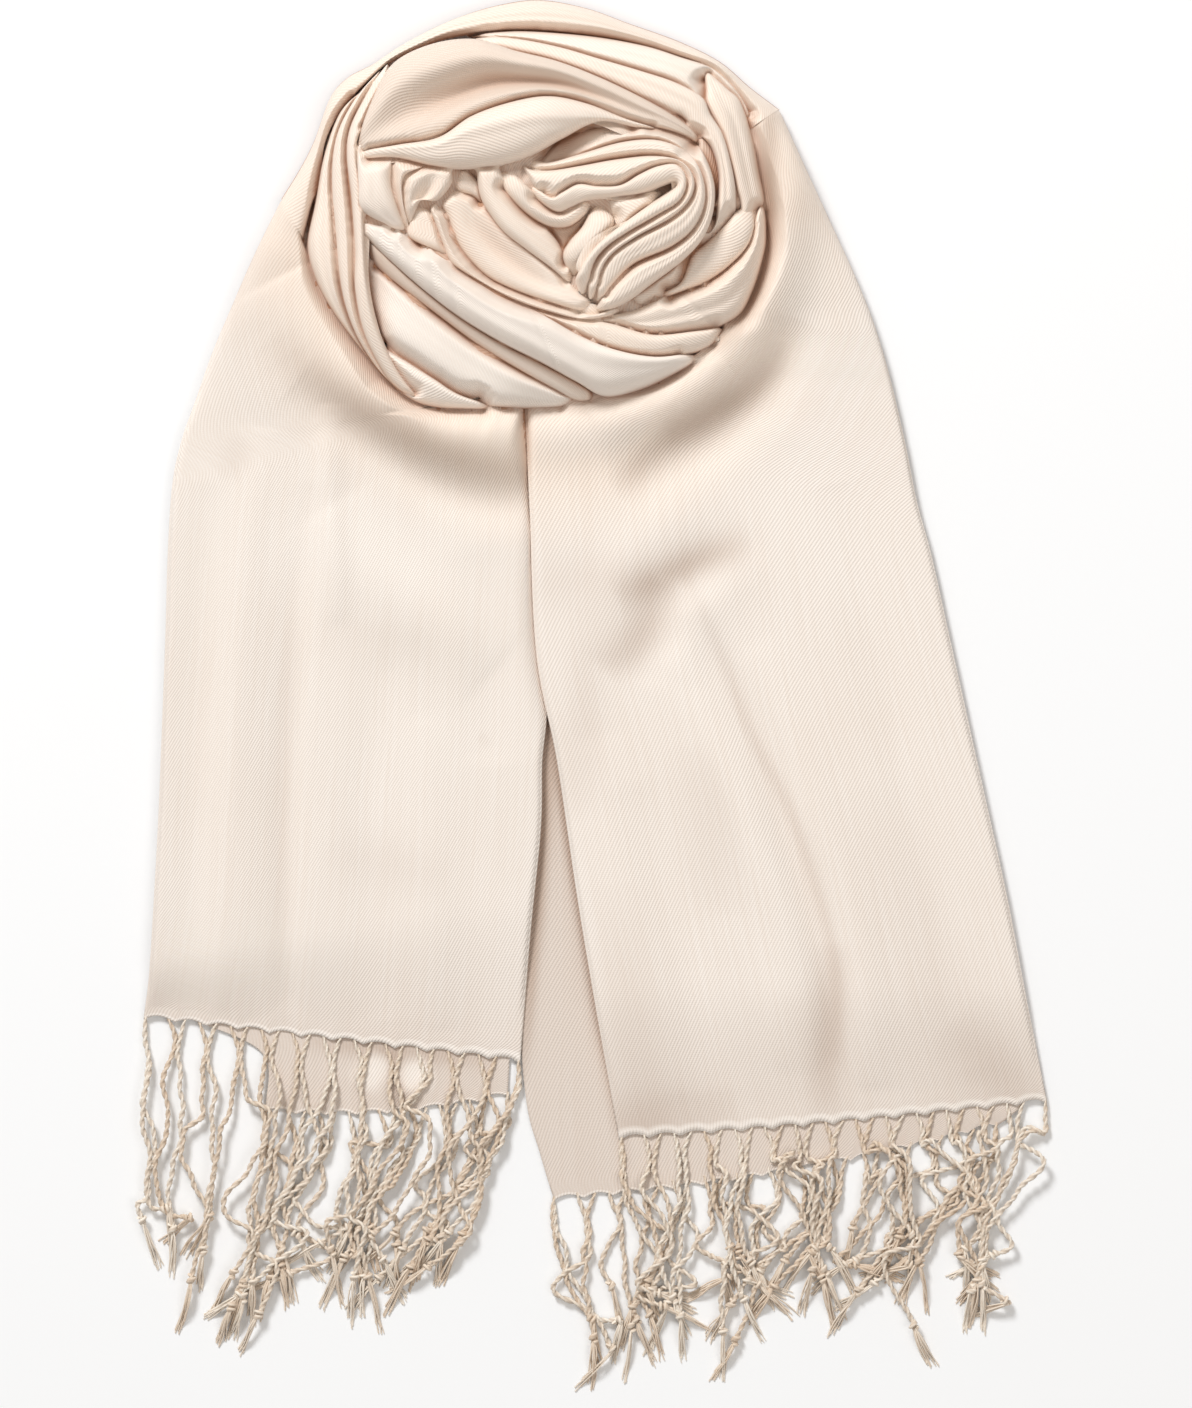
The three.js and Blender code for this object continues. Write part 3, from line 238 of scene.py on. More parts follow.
# %% Sections of every stretch of the coil
COIL = {
    "flap_rolled_edge": [
        [-79, 21, -78.5, 18, 36, 34, 0.5], [-60, 24, -62, 18.5, 39, 37, 2],
        [-43, 27, -46, 15, 41, 38, 4], [-29, 36, -33, 14, 42, 38, 6],
        [-12, 42, -16, 15.5, 42, 38, 7], [4, 44.5, -3, 20, 41, 38, 7],
        [20, 41.5, 10, 27, 39, 37, 5], [37, 35, 26, 34, 37, 36, 1], [54, 30, 46, 30, 35, 34, 0.5],
    ],
    "top_flap": [
        [-78, 26, -79, 21.5, 34, 34, 0.5], [-72, 42, -68, 22.5, 35, 37, 3, 2],
        [-63, 58, -54, 25, 35, 38, 6, 6], [-47, 66.5, -38, 30, 35, 39, 8, 11],
        [-28, 69, -20, 39, 35, 40, 8, 12], [-10, 64, -4, 43.5, 36, 40, 7, 9],
        [8, 59.5, 11, 43.5, 36, 39, 5, 6], [26, 52.5, 26, 39, 36, 38, 3, 3],
        [43, 44.5, 41, 33.5, 35, 36, 2, 1], [55, 38, 53, 31, 33, 34, 1],
        [64, 31.5, 62.5, 28, 31, 31, 0.3], [69, 26, 68, 24.5, 27, 27, 0],
    ],
    "ruffle_left": [
        [-77, 30, -62, 30, 33, 33, 1], [-77.5, 18, -63, 19, 36, 37, 3],
        [-77, 7, -63.5, 8, 37, 37, 4], [-76, -3, -61, -2, 35, 36, 4],
        [-66, -9.5, -58.5, -9, 33, 34, 2], [-58, -13.5, -57, -13, 32, 32, 0.3],
    ],
    "ruffle_middle": [
        [-62.5, 29, -49, 28, 34, 34, 1], [-62.5, 18, -49, 16, 38, 39, 2],
        [-62.5, 9, -58, 10, 37, 39, 2],
        [-60, -4, -58, -3, 36, 38, 1], [-56.5, -13, -54.5, -13.5, 34, 34, 0.5],
    ],
    "ruffle_right": [
        [-48.5, 28, -36, 27, 34, 34, 1], [-48.5, 17, -38, 15.5, 38, 37, 2],
        [-56, 11, -38, 8, 39, 38, 3, 3],
        [-59, 4.5, -44, 0.5, 38, 37, 3, 5], [-58, -3, -51, 0, 37, 36, 2],
        [-55.5, -13, -53.5, -8, 34, 35, 1],
    ],
    "spiral_1": [
        [19.5, -41.5, 15, -36, 36, 36, 1], [22.5, -28, 16.5, -31, 38, 38, 2],
        [27.5, -20.5, 20.5, -24, 40, 40, 2], [36.5, -14, 27, -16.5, 42, 41, 2],
        [49.5, -6.5, 43, -4.5, 43, 42, 2], [59.5, 0, 55, 3.5, 44, 42, 2],
        [62.5, 8.5, 58.5, 6.5, 44, 42, 2], [58.5, 15, 57, 8, 44, 42, 2],
        [50.5, 14.5, 52, 6.5, 44, 42, 3], [42.5, 11, 43, 3, 44, 41, 3],
        [34.5, 6.5, 31, 1.5, 43, 40, 2], [25, 6, 20.5, 0.5, 42, 38, 2],
        [16.5, 7, 13.5, -2.5, 41, 36, 2], [9.5, 3.5, 8, -4.5, 40, 35, 2],
        [4.5, 1.5, 2, -1.5, 39, 35, 1.5], [-5, 9, -6.5, 6.5, 37, 35, 1],
    ],
    "spiral_2": [
        [23.5, -41.5, 19.8, -41.5, 36, 36, 1], [26, -30, 22.5, -28, 38, 38, 1.5],
        [31, -22.5, 27.5, -20.5, 40, 40, 1.5], [41, -15.5, 36.5, -14, 42, 42, 1.5],
        [56.5, -7, 49.5, -6.5, 42, 43, 1.5], [64.5, 1.5, 59.5, 0, 42, 44, 1.5],
        [65.5, 10, 62.5, 8.5, 42, 44, 1.5], [59.5, 17, 58.5, 15, 42, 44, 1.5],
        [47.5, 19, 49, 14, 41, 44, 2], [32, 17.5, 35, 7, 40, 43, 4], [18, 15, 25, 6, 39, 42, 4],
        [5, 13, 14, 6, 38, 41, 3], [-4, 13.5, 4, 2, 37, 39, 2], [-9, 17, -6, 9, 35, 36, 1],
    ],
    "spiral_3": [
        [25.5, -43, 23.8, -41.5, 34, 36, 0.5], [31, -35.5, 26.5, -30, 35, 37, 1],
        [40.5, -26.5, 31.5, -22.5, 36, 38, 2], [56, -19.5, 42, -15.5, 37, 39, 3],
        [66, -11, 57.5, -7, 38, 40, 3], [70.5, 1, 65, 1.5, 39, 40, 2],
        [68.5, 13, 65, 11.5, 39, 41, 2], [61.5, 21.5, 59, 17, 38, 41, 2],
        [49.5, 26, 48, 19.5, 38, 40, 2.5], [34.5, 25, 32, 17.5, 37, 39, 3],
        [17, 20, 17, 15, 36, 38, 2], [3.5, 16.5, 4, 13, 35, 37, 1],
        [-6, 18.5, -8, 15.5, 33, 34, 0.5],
    ],
    "pocket_tab": [
        [23.5, 0.5, 29, -2, 36, 36, 1], [19, -10, 31.5, -9.5, 35, 36, 3],
        [13, -17, 25.5, -17, 33, 35, 4], [10, -23.5, 19.5, -24, 31, 33, 3],
        [13.5, -33, 15.5, -33, 27, 28, 1],
    ],
    "slit_lip": [
        [27, 1.5, 30, -4, 37, 36, 1], [34.5, 1.5, 34, -10, 38, 37, 2],
        [44, 3, 43, -4.5, 39, 39, 2], [52.5, 5.5, 53.5, 2.5, 39, 39, 0.5],
    ],
    "pocket_rim": [
        [-15, 15.5, -20, 13, 37, 36, 1], [-8, 9, -13, 2.5, 37, 35, 2],
        [0, 1, -5, -5.5, 36, 33, 3], [6, -4, 4, -10.5, 35, 31, 3],
        [11.5, -4.5, 12.5, -10.5, 34, 31, 3], [17, -1, 19, -6, 35, 32, 2],
        [22, 1.5, 23.5, -1, 35, 34, 1],
    ],
    "centre_fold": [
        [-27, 24, -18, 24, 33, 33, 1], [-26.5, 13.5, -17, 13.5, 37, 35, 2],
        [-24.5, 1, -9, 1, 36, 32, 4], [-16.5, -11.5, 1, -9, 35, 29, 5],
        [-5.5, -20.5, 8, -17.5, 33, 28, 4], [6, -29, 11.5, -26, 30, 27, 2.5],
        [15, -37, 15, -33, 26, 26, 1],
    ],
    "pocket_floor": [
        [-13, 2, 23, -2, 27, 29, 1], [-4, -7, 19, -8, 27, 28, 1], [3, -15, 13, -17, 25, 26, 1],
        [9, -24, 11, -23.5, 23, 23, 1], [14, -33, 15, -33, 22, 22, 0.5],
    ],
    "spiral_4": [
        [22.5, -48, 25, -42.5, 31, 33, 2], [36, -43, 31.5, -35.5, 33, 34, 3],
        [48, -34.5, 41, -26.5, 34, 35, 4], [60.5, -25, 56.5, -19.5, 35, 36, 3],
        [69.5, -15, 66.5, -11, 35, 37, 2], [74, -3, 71, 1, 35, 38, 1.5],
        [74, 9, 69, 13, 35, 38, 2], [69, 21.5, 62, 21.5, 34, 37, 2], [61, 29, 50, 26, 33, 37, 3],
        [49, 31.5, 36, 25.5, 32, 36, 3], [30, 32, 20, 21, 30, 34, 1], [14, 29, 6, 17, 27, 30, 0],
        [4, 24, -3, 17, 25, 28, 0],
    ],
    "wedge": [
        [-38.5, 14, -39, 7, 32, 32, 0.5], [-31.5, 13, -33.5, 4.5, 31, 32, 0.5],
        [-26, 8, -27.5, 2, 30, 31, 0.5], [-22.5, -2, -23, -4, 29, 30, 0.3],
    ],
    "twill_panel": [
        [-44, 1, -38.5, 7, 33, 31, 2], [-39.5, -5.5, -28, 2, 33, 31, 2],
        [-35.5, -16.5, -21.5, -5, 32, 31, 2, 2], [-29.5, -25, -11, -15.5, 31, 30, 2, 3],
        [-21, -32.5, 2, -25.5, 30, 29, 2, 3], [-8, -38.5, 11, -33, 29, 28, 2, 2],
        [8.5, -44, 18, -39.5, 28, 28, 2], [23, -48, 24, -43, 27, 28, 1],
    ],
    "narrow_strip": [
        [-48, -0.5, -44.5, 1, 35, 34, 1], [-44.5, -9, -40, -5.5, 35, 34, 1.5],
        [-41, -18.5, -36, -16.5, 34, 33, 1.5], [-37, -26.5, -30, -25, 33, 32, 1.5],
        [-25.5, -34, -21.5, -32.5, 32, 31, 1.5], [-12.5, -41, -8.5, -38.5, 30, 30, 1.5],
        [3, -46.5, 8.5, -44.5, 29, 29, 1.5], [20, -50, 23, -48, 28, 28, 1],
        [37, -47, 36, -43.5, 27, 28, 1],
    ],
    "leaf_inner": [
        [-52, 0.5, -48, -0.5, 33, 33, 0.5], [-54, -6, -44.5, -9, 33, 33, 1],
        [-56, -14.5, -41, -18.5, 32, 33, 1.5], [-44, -21.5, -38, -26, 31, 32, 0.5],
    ],
    "pleat_inner": [
        [-67, 58, -64, 60, 27, 29, 1], [-75, 44.5, -70, 44, 28, 31, 2],
        [-81, 32, -77, 29, 28, 32, 2], [-82.5, 20, -78.5, 19, 28, 32, 2],
        [-80.5, 0, -76, 2, 28, 32, 2], [-79, -20, -75, -20, 27, 31, 2],
        [-79, -37, -73.5, -36, 26, 30, 2], [-75, -56, -69.5, -54, 23, 26, 2],
        [-66, -73.5, -61, -72, 18, 20, 1.5], [-56, -83.5, -50, -86, 13, 14, 1],
    ],
    "pleat_middle": [
        [-70, 55.5, -67.5, 57.5, 24, 25, 1], [-80.5, 42, -76.5, 43, 24, 27, 2],
        [-87, 28, -82, 28, 24, 28, 2], [-89, 11, -82, 11, 24, 28, 2.5],
        [-87.5, -11, -80, -11, 24, 28, 2.5], [-85, -36.5, -79.5, -34, 22, 26, 2.5],
        [-79.5, -54.5, -76, -54, 19, 23, 2], [-71, -69, -67.5, -71.5, 15, 18, 1],
        [-61.5, -79.5, -58, -81.5, 11, 13, 0.5],
    ],
    "pleat_outer": [
        [-77, 48, -74, 50, 19, 20, 1], [-86, 38, -81.5, 39.5, 19, 21, 2],
        [-92.5, 20, -88.5, 20, 18, 22, 2.5], [-96, 1, -89.5, 4, 17, 22, 3],
        [-99.5, -18, -88.5, -15, 16, 22, 4], [-96, -33, -85.5, -36, 15, 21, 4],
        [-88, -47.5, -81, -51, 14, 18, 3], [-76, -63.5, -72.5, -66, 12, 14, 1],
        [-64, -78, -62, -78.5, 10, 11, 0.5],
    ],
    "front_leaf": [
        [-84, -7, -84, -9, 26, 26, 0.5], [-77, -8.5, -77, -12, 28, 27, 1],
        [-66, -11, -67, -22, 32, 30, 3],
        [-54.5, -16, -52, -35.5, 34, 31, 5], [-38, -26.5, -35, -48.5, 35, 31, 6],
        [-25, -34.5, -17, -59.5, 34, 30, 7], [-12, -41.5, 0, -68, 33, 28, 7],
        [2.5, -49, 15, -76, 31, 25, 6], [17, -57, 28, -82.5, 29, 20, 6],
        [32, -63, 43, -80, 29, 17, 6], [49.5, -66, 58, -73, 26, 17, 4],
        [66, -64, 69, -66, 22, 19, 1],
    ],
    "front_pleat": [
        [-76, -14.5, -75, -23, 22, 20, 0.5], [-66.5, -22.5, -60, -35.5, 27, 24, 1],
        [-51.5, -36, -43, -48.5, 27, 24, 1.5], [-34.5, -49, -26, -61, 26, 23, 1.5],
        [-17, -60, -8.5, -71.5, 25, 22, 1.5], [0, -68.5, 4.5, -78.5, 23, 20, 1],
        [15, -76.5, 15.5, -84, 19, 16, 0.5], [24, -82, 24, -84, 15, 14, 0.5],
    ],
    "lower_band": [
        [-16, -39, -14, -41, 28, 29, 0.5], [0, -46, 2, -49, 28, 29, 0.5],
        [17, -49.5, 17, -56.5, 28, 27, 1.5], [31, -52, 32, -63, 27, 25, 3],
        [48, -56.5, 49, -66, 26, 23, 3], [66, -55, 67, -63.5, 24, 20, 2],
        [81, -52.5, 77, -58.5, 18, 17, 1],
    ],
    "lower_right_fold": [
        [93, -3, 88, 1, 26, 27, 0.5], [89.5, -17, 79, -10, 25, 27, 1.5],
        [81.5, -26.5, 73, -16, 24, 26, 1.5], [71, -34, 65, -23, 24, 26, 1.5],
        [62, -37.5, 60, -34.5, 24, 25, 1], [50, -42, 49, -40, 24, 25, 0.5],
    ],
    "lower_right_band": [
        [96, 2, 94, 0, 16, 20, 1], [97, -12, 92, -9, 15, 24, 3], [96, -22, 89, -18, 14, 25, 5],
        [91, -38, 81, -27, 14, 25, 7], [84, -49, 69, -35, 16, 25, 7],
        [68, -55, 54, -40, 21, 26, 5], [48, -56.5, 42, -45.5, 24, 26, 3],
        [31, -52, 29, -48.5, 25, 26, 1.5], [18, -49.5, 19, -48.5, 25, 26, 0.5],
    ],
    "inner_right_band": [
        [-26, 71.5, -29, 69, 26, 28, 1], [-8, 69.5, -13, 64.5, 28, 30, 2],
        [9, 66, 3, 61, 29, 31, 2], [26, 61, 19, 55.5, 30, 31, 2.5], [43, 56, 35, 48.5, 30, 31, 3],
        [58, 51, 49, 41.5, 30, 31, 3], [69, 44.5, 60, 37, 30, 31, 2.5],
        [73, 37, 67, 30.5, 30, 31, 2], [78, 29, 73.5, 23.5, 30, 31, 2],
        [81.5, 17, 76.5, 12, 30, 31, 2], [83.5, 4, 76, 0, 29, 31, 2.5],
        [82, -8, 75, -10, 28, 30, 3], [73.5, -23.5, 69, -17, 27, 29, 2],
        [63, -34, 59.5, -26, 26, 28, 1.5], [51, -40.5, 47, -35.5, 25, 27, 1],
        [38, -46, 36, -43.5, 24, 26, 0.5],
    ],
    "flap_end": [
        [50, 41, 45, 32, 29, 29, 0.5], [58, 38, 54, 30, 28, 29, 1], [66, 30.5, 61, 28, 26, 28, 1],
        [73.5, 23, 67, 20, 25, 27, 1], [77.5, 11, 70, 8, 24, 26, 1],
        [79, 1, 71, -1, 24, 25, 0.5], [78, -9, 71, -10, 23, 24, 0.5],
    ],
    "right_band": [
        [70.5, 57.5, 70, 57, 19, 19, 0.3], [74.5, 54, 71, 50, 20, 22, 1],
        [80.5, 48.5, 71.5, 42, 20, 25, 3],
        [86, 43, 77, 31, 19, 26, 4], [91, 28, 81, 19, 18, 26, 4], [94, 13, 84, 7, 17, 25, 4],
        [96, 2, 86, -3, 17, 24, 3], [94, -4, 84, -11, 18, 22, 1],
    ],
    "outer_top_band": [
        [-30, 72, -28, 71, 20, 21, 0.5], [-10, 73.5, -9, 69.5, 20, 25, 2],
        [10, 72.5, 9, 66, 20, 26, 3], [28, 70.5, 26, 61, 20, 27, 4], [46, 67, 43, 56, 20, 27, 4],
        [60, 62.5, 57, 51.5, 20, 27, 4], [74, 57.5, 68, 44, 19, 26, 3],
        [85, 47, 75, 36, 18, 23, 2], [92, 34, 80, 27, 16, 20, 1],
    ],
    "front_crescent": [
        [-72, -66, -70.5, -58, 13, 16, 0.5], [-63, -78, -64, -63.5, 12, 18, 3],
        [-53, -85, -56, -68.5, 12, 19, 4], [-43, -87.5, -45, -75.5, 12, 19, 4],
        [-32, -88, -34.5, -82, 12, 17, 3], [-18, -88, -19.5, -86.5, 12, 13, 1],
    ],
    "lowest_front": [
        [-84, -14, -84, -30, 18, 15, 0.5], [-76, -20, -77, -40, 20, 16, 1],
        [-66, -30, -70, -52, 22, 17, 2],
        [-55, -39, -63, -63, 24, 19, 4], [-40, -51, -53, -70, 24, 19, 5],
        [-25, -62, -38, -80, 23, 17, 5], [-8, -72, -22, -86.5, 22, 14, 5],
        [5, -79, -2, -87.5, 18, 12, 3], [17, -84.5, 15, -86.5, 13, 12, 0.5],
    ],
    "outer_wrap": [
        [-111, 2, -101.5, -15, 7.5, 12, 8], [-103, 15, -98, -1, 7.5, 13, 9],
        [-97, 27, -94.5, 9, 7.5, 14, 9], [-90.5, 45, -92, 26, 7.5, 14, 9],
        [-83, 54, -85, 40, 7.5, 15, 8], [-72, 60, -76, 50, 7.5, 15, 7],
        [-60, 68, -65, 60, 7.5, 15, 7], [-46, 75.5, -50, 67.5, 7.5, 16, 7],
        [-33, 81, -38, 71.5, 7.5, 16, 8], [-17, 85.5, -19, 74, 7.5, 16, 9],
        [0, 87.5, 2, 74, 7.5, 16, 10], [20, 84, 24, 71.5, 7.5, 16, 10],
        [38, 77.5, 39, 69, 7.5, 16, 9], [60, 69.5, 57, 64, 7.5, 16, 7],
        [77, 61, 73, 57.5, 7.5, 16, 7], [90, 50, 78.8, 44.4, 7.5, 16, 8],
        [102.5, 40.5, 85, 28.2, 7.5, 16, 9],
    ],
}
print(len(COIL), "stretches,", sum(len(rows) for rows in COIL.values()), "sections")

# %% [markdown]
# Long soft folds run along a stretch where the cloth is gathered. They are listed one
# line each: where they lie across the stretch, how wide and high they are, the part of
# the length that they cover, and how far they drift sideways on the way.

# %% Small folds along the stretches
FOLDS = {
    "top_flap": [[0.30, 0.10, 1.4, 0.05, 0.95, 0.12], [0.62, 0.12, -1.3, 0.1, 0.8, -0.1],
                 [0.85, 0.06, 0.8, 0.3, 1.0, 0.05]],
    "flap_rolled_edge": [[0.35, 0.12, 1.0, 0.1, 0.9, 0.2]],
    "front_leaf": [[0.22, 0.09, 0.5, 0.05, 0.9, 0.08], [0.5, 0.12, -0.5, 0.1, 0.95, 0.05],
                   [0.72, 0.08, 0.4, 0.2, 0.9, -0.06]],
    "lowest_front": [[0.35, 0.14, -0.6, 0.1, 0.9, 0.1], [0.7, 0.12, 0.5, 0.1, 0.8, -0.1]],
    "outer_wrap": [[0.25, 0.08, 0.9, 0.1, 0.9, 0.1], [0.6, 0.08, -0.9, 0.3, 0.95, -0.1]],
    "twill_panel": [[0.5, 0.18, -1.0, 0.1, 0.9, 0.0]],
    "lower_right_band": [[0.4, 0.12, -1.2, 0.1, 0.9, 0.12], [0.75, 0.08, 0.9, 0.2, 0.8, 0]],
    "right_band": [[0.45, 0.15, -1.2, 0.1, 0.9, 0.1]],
    "outer_top_band": [[0.5, 0.12, -0.8, 0.1, 0.9, 0.1]],
    "inner_right_band": [[0.5, 0.14, -0.8, 0.1, 0.9, 0.1]],
    "pleat_outer": [[0.5, 0.14, -1.0, 0.15, 0.85, 0.1]],
    "spiral_4": [[0.5, 0.14, -0.9, 0.1, 0.9, 0.1]],
    "spiral_3": [[0.5, 0.14, -0.6, 0.1, 0.9, 0.1]],
    "ruffle_left": [[0.45, 0.2, -1.2, 0.1, 0.9, 0.1]],
    "ruffle_right": [[0.5, 0.2, -1.0, 0.1, 0.9, 0.1]],
    "centre_fold": [[0.5, 0.2, -0.9, 0.1, 0.9, 0.1]],
}
WANDER, WANDER_TURNS, FOLD_FADE = 0.03, 9, 0.7


def small_folds(name, u, v):
    z = np.zeros(u.shape)
    for place, width, height, start, stop, drift in FOLDS.get(name, []):
        f = np.clip((v - start) / (stop - start), 0, 1)
        line = place + drift * (f - 0.5) + WANDER * np.sin(WANDER_TURNS * v + 20 * place)
        z += height * bump(u, line, width) * np.sin(math.pi * f) ** FOLD_FADE
    return z


print(sum(len(lines) for lines in FOLDS.values()), "small folds")

# %% [markdown]
# A lower stretch must dip under the edge of the one above it, or the two would cut
# through each other. A height field does this: after each stretch is made, a ceiling is
# kept just below it, and the ceiling opens upwards round its edge like a steep bank. The
# next stretch is pressed down to that ceiling, which gives the crease between the two.
# A second field keeps the highest surface so far at each place.

# %% Height fields over the whole wrap
CELL, OPEN = 0.5, 200.0
FIELD_LOW, FIELD_SIZE = np.array([-190.0, -460.0]), (850, 1130)
ceiling = np.full(FIELD_SIZE, OPEN)
surface = np.zeros(FIELD_SIZE)


def field_places(x, y):
    return (x - FIELD_LOW[0]) / CELL, (y - FIELD_LOW[1]) / CELL


def read_field(field, x, y):
    cx, cy = field_places(x, y)
    cx = np.clip(cx, 0, FIELD_SIZE[0] - 1.001)
    cy = np.clip(cy, 0, FIELD_SIZE[1] - 1.001)
    i, j = cx.astype(int), cy.astype(int)
    f, g = cx - i, cy - j
    return ((1 - f) * (1 - g) * field[i, j] + f * (1 - g) * field[i + 1, j]
            + (1 - f) * g * field[i, j + 1] + f * g * field[i + 1, j + 1])


def densify(grid, step):
    """The grid with extra points so that they are about one step apart."""
    for axis in (0, 1):
        gap = np.linalg.norm(np.diff(grid[..., :2], axis=axis), axis=2).max()
        n = max(1, int(math.ceil(gap / step)))
        a = np.moveaxis(grid, axis, 0)
        f = np.arange(n)[:, None, None] / n
        parts = [(1 - f) * a[i] + f * a[i + 1] for i in range(len(a) - 1)] + [a[-1:]]
        grid = np.moveaxis(np.concatenate(parts), 0, axis)
    return grid


print("height fields of", FIELD_SIZE, "cells,", CELL, "mm each")

# %% Ceiling over the cloth that is still to come
BANK, TAIL_BANK, BANK_CELLS = 1.7, 3.2, 22
CLEAR = CLOTH_THICK + 0.3


def open_upwards(field, bank):
    """Lets a field of heights rise as a bank round the cells that have one."""
    slope, diagonal = bank * CELL, bank * CELL * 1.414
    for _ in range(BANK_CELLS):
        wide = np.pad(field, 1, constant_values=OPEN)
        near = [wide[2:, 1:-1], wide[:-2, 1:-1], wide[1:-1, 2:], wide[1:-1, :-2]]
        far = [wide[2:, 2:], wide[:-2, :-2], wide[2:, :-2], wide[:-2, 2:]]
        field = np.minimum.reduce([field] + [n + slope for n in near]
                                  + [n + diagonal for n in far])
    for axis in (0, 1):
        field = (np.roll(field, 1, axis) + 2 * field + np.roll(field, -1, axis)) / 4
    return field


def lower_ceiling(grid, bank=BANK):
    """Puts the ceiling below this sheet and opens it as a bank round the sheet's edge."""
    dense = densify(grid, CELL * 0.8)
    cx, cy = field_places(dense[..., 0], dense[..., 1])
    i, j = np.rint(cx).astype(int), np.rint(cy).astype(int)
    margin = BANK_CELLS + 2
    low = np.maximum([i.min() - margin, j.min() - margin], 0)
    high = np.minimum([i.max() + margin + 1, j.max() + margin + 1], FIELD_SIZE)
    window = (slice(low[0], high[0]), slice(low[1], high[1]))
    cells = (i - low[0], j - low[1])
    top = np.full(tuple(high - low), -1.0)
    np.maximum.at(top, cells, dense[..., 2])
    surface[window] = np.maximum(surface[window], top)
    below = np.full(tuple(high - low), OPEN)
    np.minimum.at(below, cells, dense[..., 2] - CLEAR)
    ceiling[window] = np.minimum(ceiling[window], open_upwards(below, bank))


print("the bank of the ceiling rises", BANK, "mm for each mm, over", BANK_CELLS * CELL, "mm")

# %% [markdown]
# Where an edge of a stretch meets one that lies above it, the cloth does not end: it
# goes on under its neighbour. So each edge is tested for a neighbour just outside it.
# A covered edge is made longer and dips only a little, and a free edge turns down in a
# short rounded lip, which also closes the view from the side.

# %% Edges that are covered and edges that are free
EDGE_DROP, COVERED_DROP = 2.9, 1.1
UNDER, UNDER_FALL = 7.0, 0.2
LIP, LIP_LOWEST = [(0.5, 2.08), (0.2, 4.42), (-1.3, 6.76), (-4.0, 8.84)], 2.4
COVER_DEEP, FLOOR_CLEAR = 7, 2


def soften(values, reach):
    kernel = np.hanning(2 * reach + 3)[1:-1]
    return np.convolve(np.pad(values, reach, mode="edge"), kernel / kernel.sum(), "valid")


def covered_share(edge, other, z, ahead=1.6):
    """1 where cloth that is already laid lies over the place just outside the edge."""
    away = edge - other
    away = away / np.maximum(1e-6, np.linalg.norm(away, axis=1))[:, None]
    probe = edge + away * ahead
    over = read_field(surface, probe[:, 0], probe[:, 1])
    return soften((over > np.maximum(z - COVER_DEEP, FLOOR_CLEAR)).astype(float), 3), away


def edge_strip(rim, cover, away):
    """The cloth beyond an edge: on under its neighbour, or down in a rounded lip."""
    strip = []
    for k, (out, down) in enumerate(LIP):
        under = np.column_stack([rim[:, :2] + away * (UNDER * (k + 1) / len(LIP)),
                                 rim[:, 2] - UNDER_FALL * k])
        lip = np.column_stack([rim[:, :2] + away * out,
                               np.maximum(rim[:, 2] - down, LIP_LOWEST)])
        strip.append(cover[:, None] * under + (1 - cover[:, None]) * lip)
    return np.stack(strip, 1)


print("an edge goes on for", UNDER, "mm under its neighbour")

# %% [markdown]
# A stretch is laid in four steps: the band between its edges, a strip beyond each edge,
# a slope down at both ends, and the press to the ceiling. Its ends narrow too, so that
# they slip in between their neighbours. The outer wrap goes on as the two tails, so its
# ends stay as they are.

# %% Lay a stretch of the coil
ACROSS = np.concatenate([[0, 0.006, 0.02, 0.045], np.linspace(0.08, 0.92, 21),
                         [0.955, 0.98, 0.994, 1]])
END_LONG, END_SINK, END_WIDE, WIDEN_BY = 9, 9, 0.3, 1.6
TROUGH_PLACE, TROUGH_WIDE = 0.62, 0.22
LOWEST = 0.8 + CLOTH_THICK
SECTION_STEP, FEWEST, MOST = 0.8, 30, 280
ENDLESS, END_UNCOVERED = 99, 0.55


def lay_band(name, values, v, from_end, cover_out, cover_in):
    """Points between the two edges of a stretch."""
    outer, inner = values[:, 0:2], values[:, 2:4]
    oz, iz, rise, dip = (values[:, k][:, None] for k in (4, 5, 6, 7))
    full = np.clip(from_end / END_LONG * WIDEN_BY, 0, 1)[:, None] ** 0.5
    u = 0.5 + (ACROSS[None, :] - 0.5) * (END_WIDE + (1 - END_WIDE) * full)
    x = outer[:, 0:1] + (inner - outer)[:, 0:1] * u
    y = outer[:, 1:2] + (inner - outer)[:, 1:2] * u
    cover = np.where(u < 0.5, cover_out[:, None], cover_in[:, None])
    keep = (EDGE_DROP - COVERED_DROP) / (EDGE_DROP + np.maximum(rise, 0))
    rounded = arch(ACROSS[None, :])
    shoulder = rounded + cover * keep * (1 - rounded)
    z = (oz + (iz - oz) * u - EDGE_DROP + (EDGE_DROP + rise) * shoulder
         - dip * bump(u, TROUGH_PLACE, TROUGH_WIDE))
    z = z + small_folds(name, u + 0 * x, v[:, None] + 0 * x) * rounded
    return np.stack([x, y, z], -1)


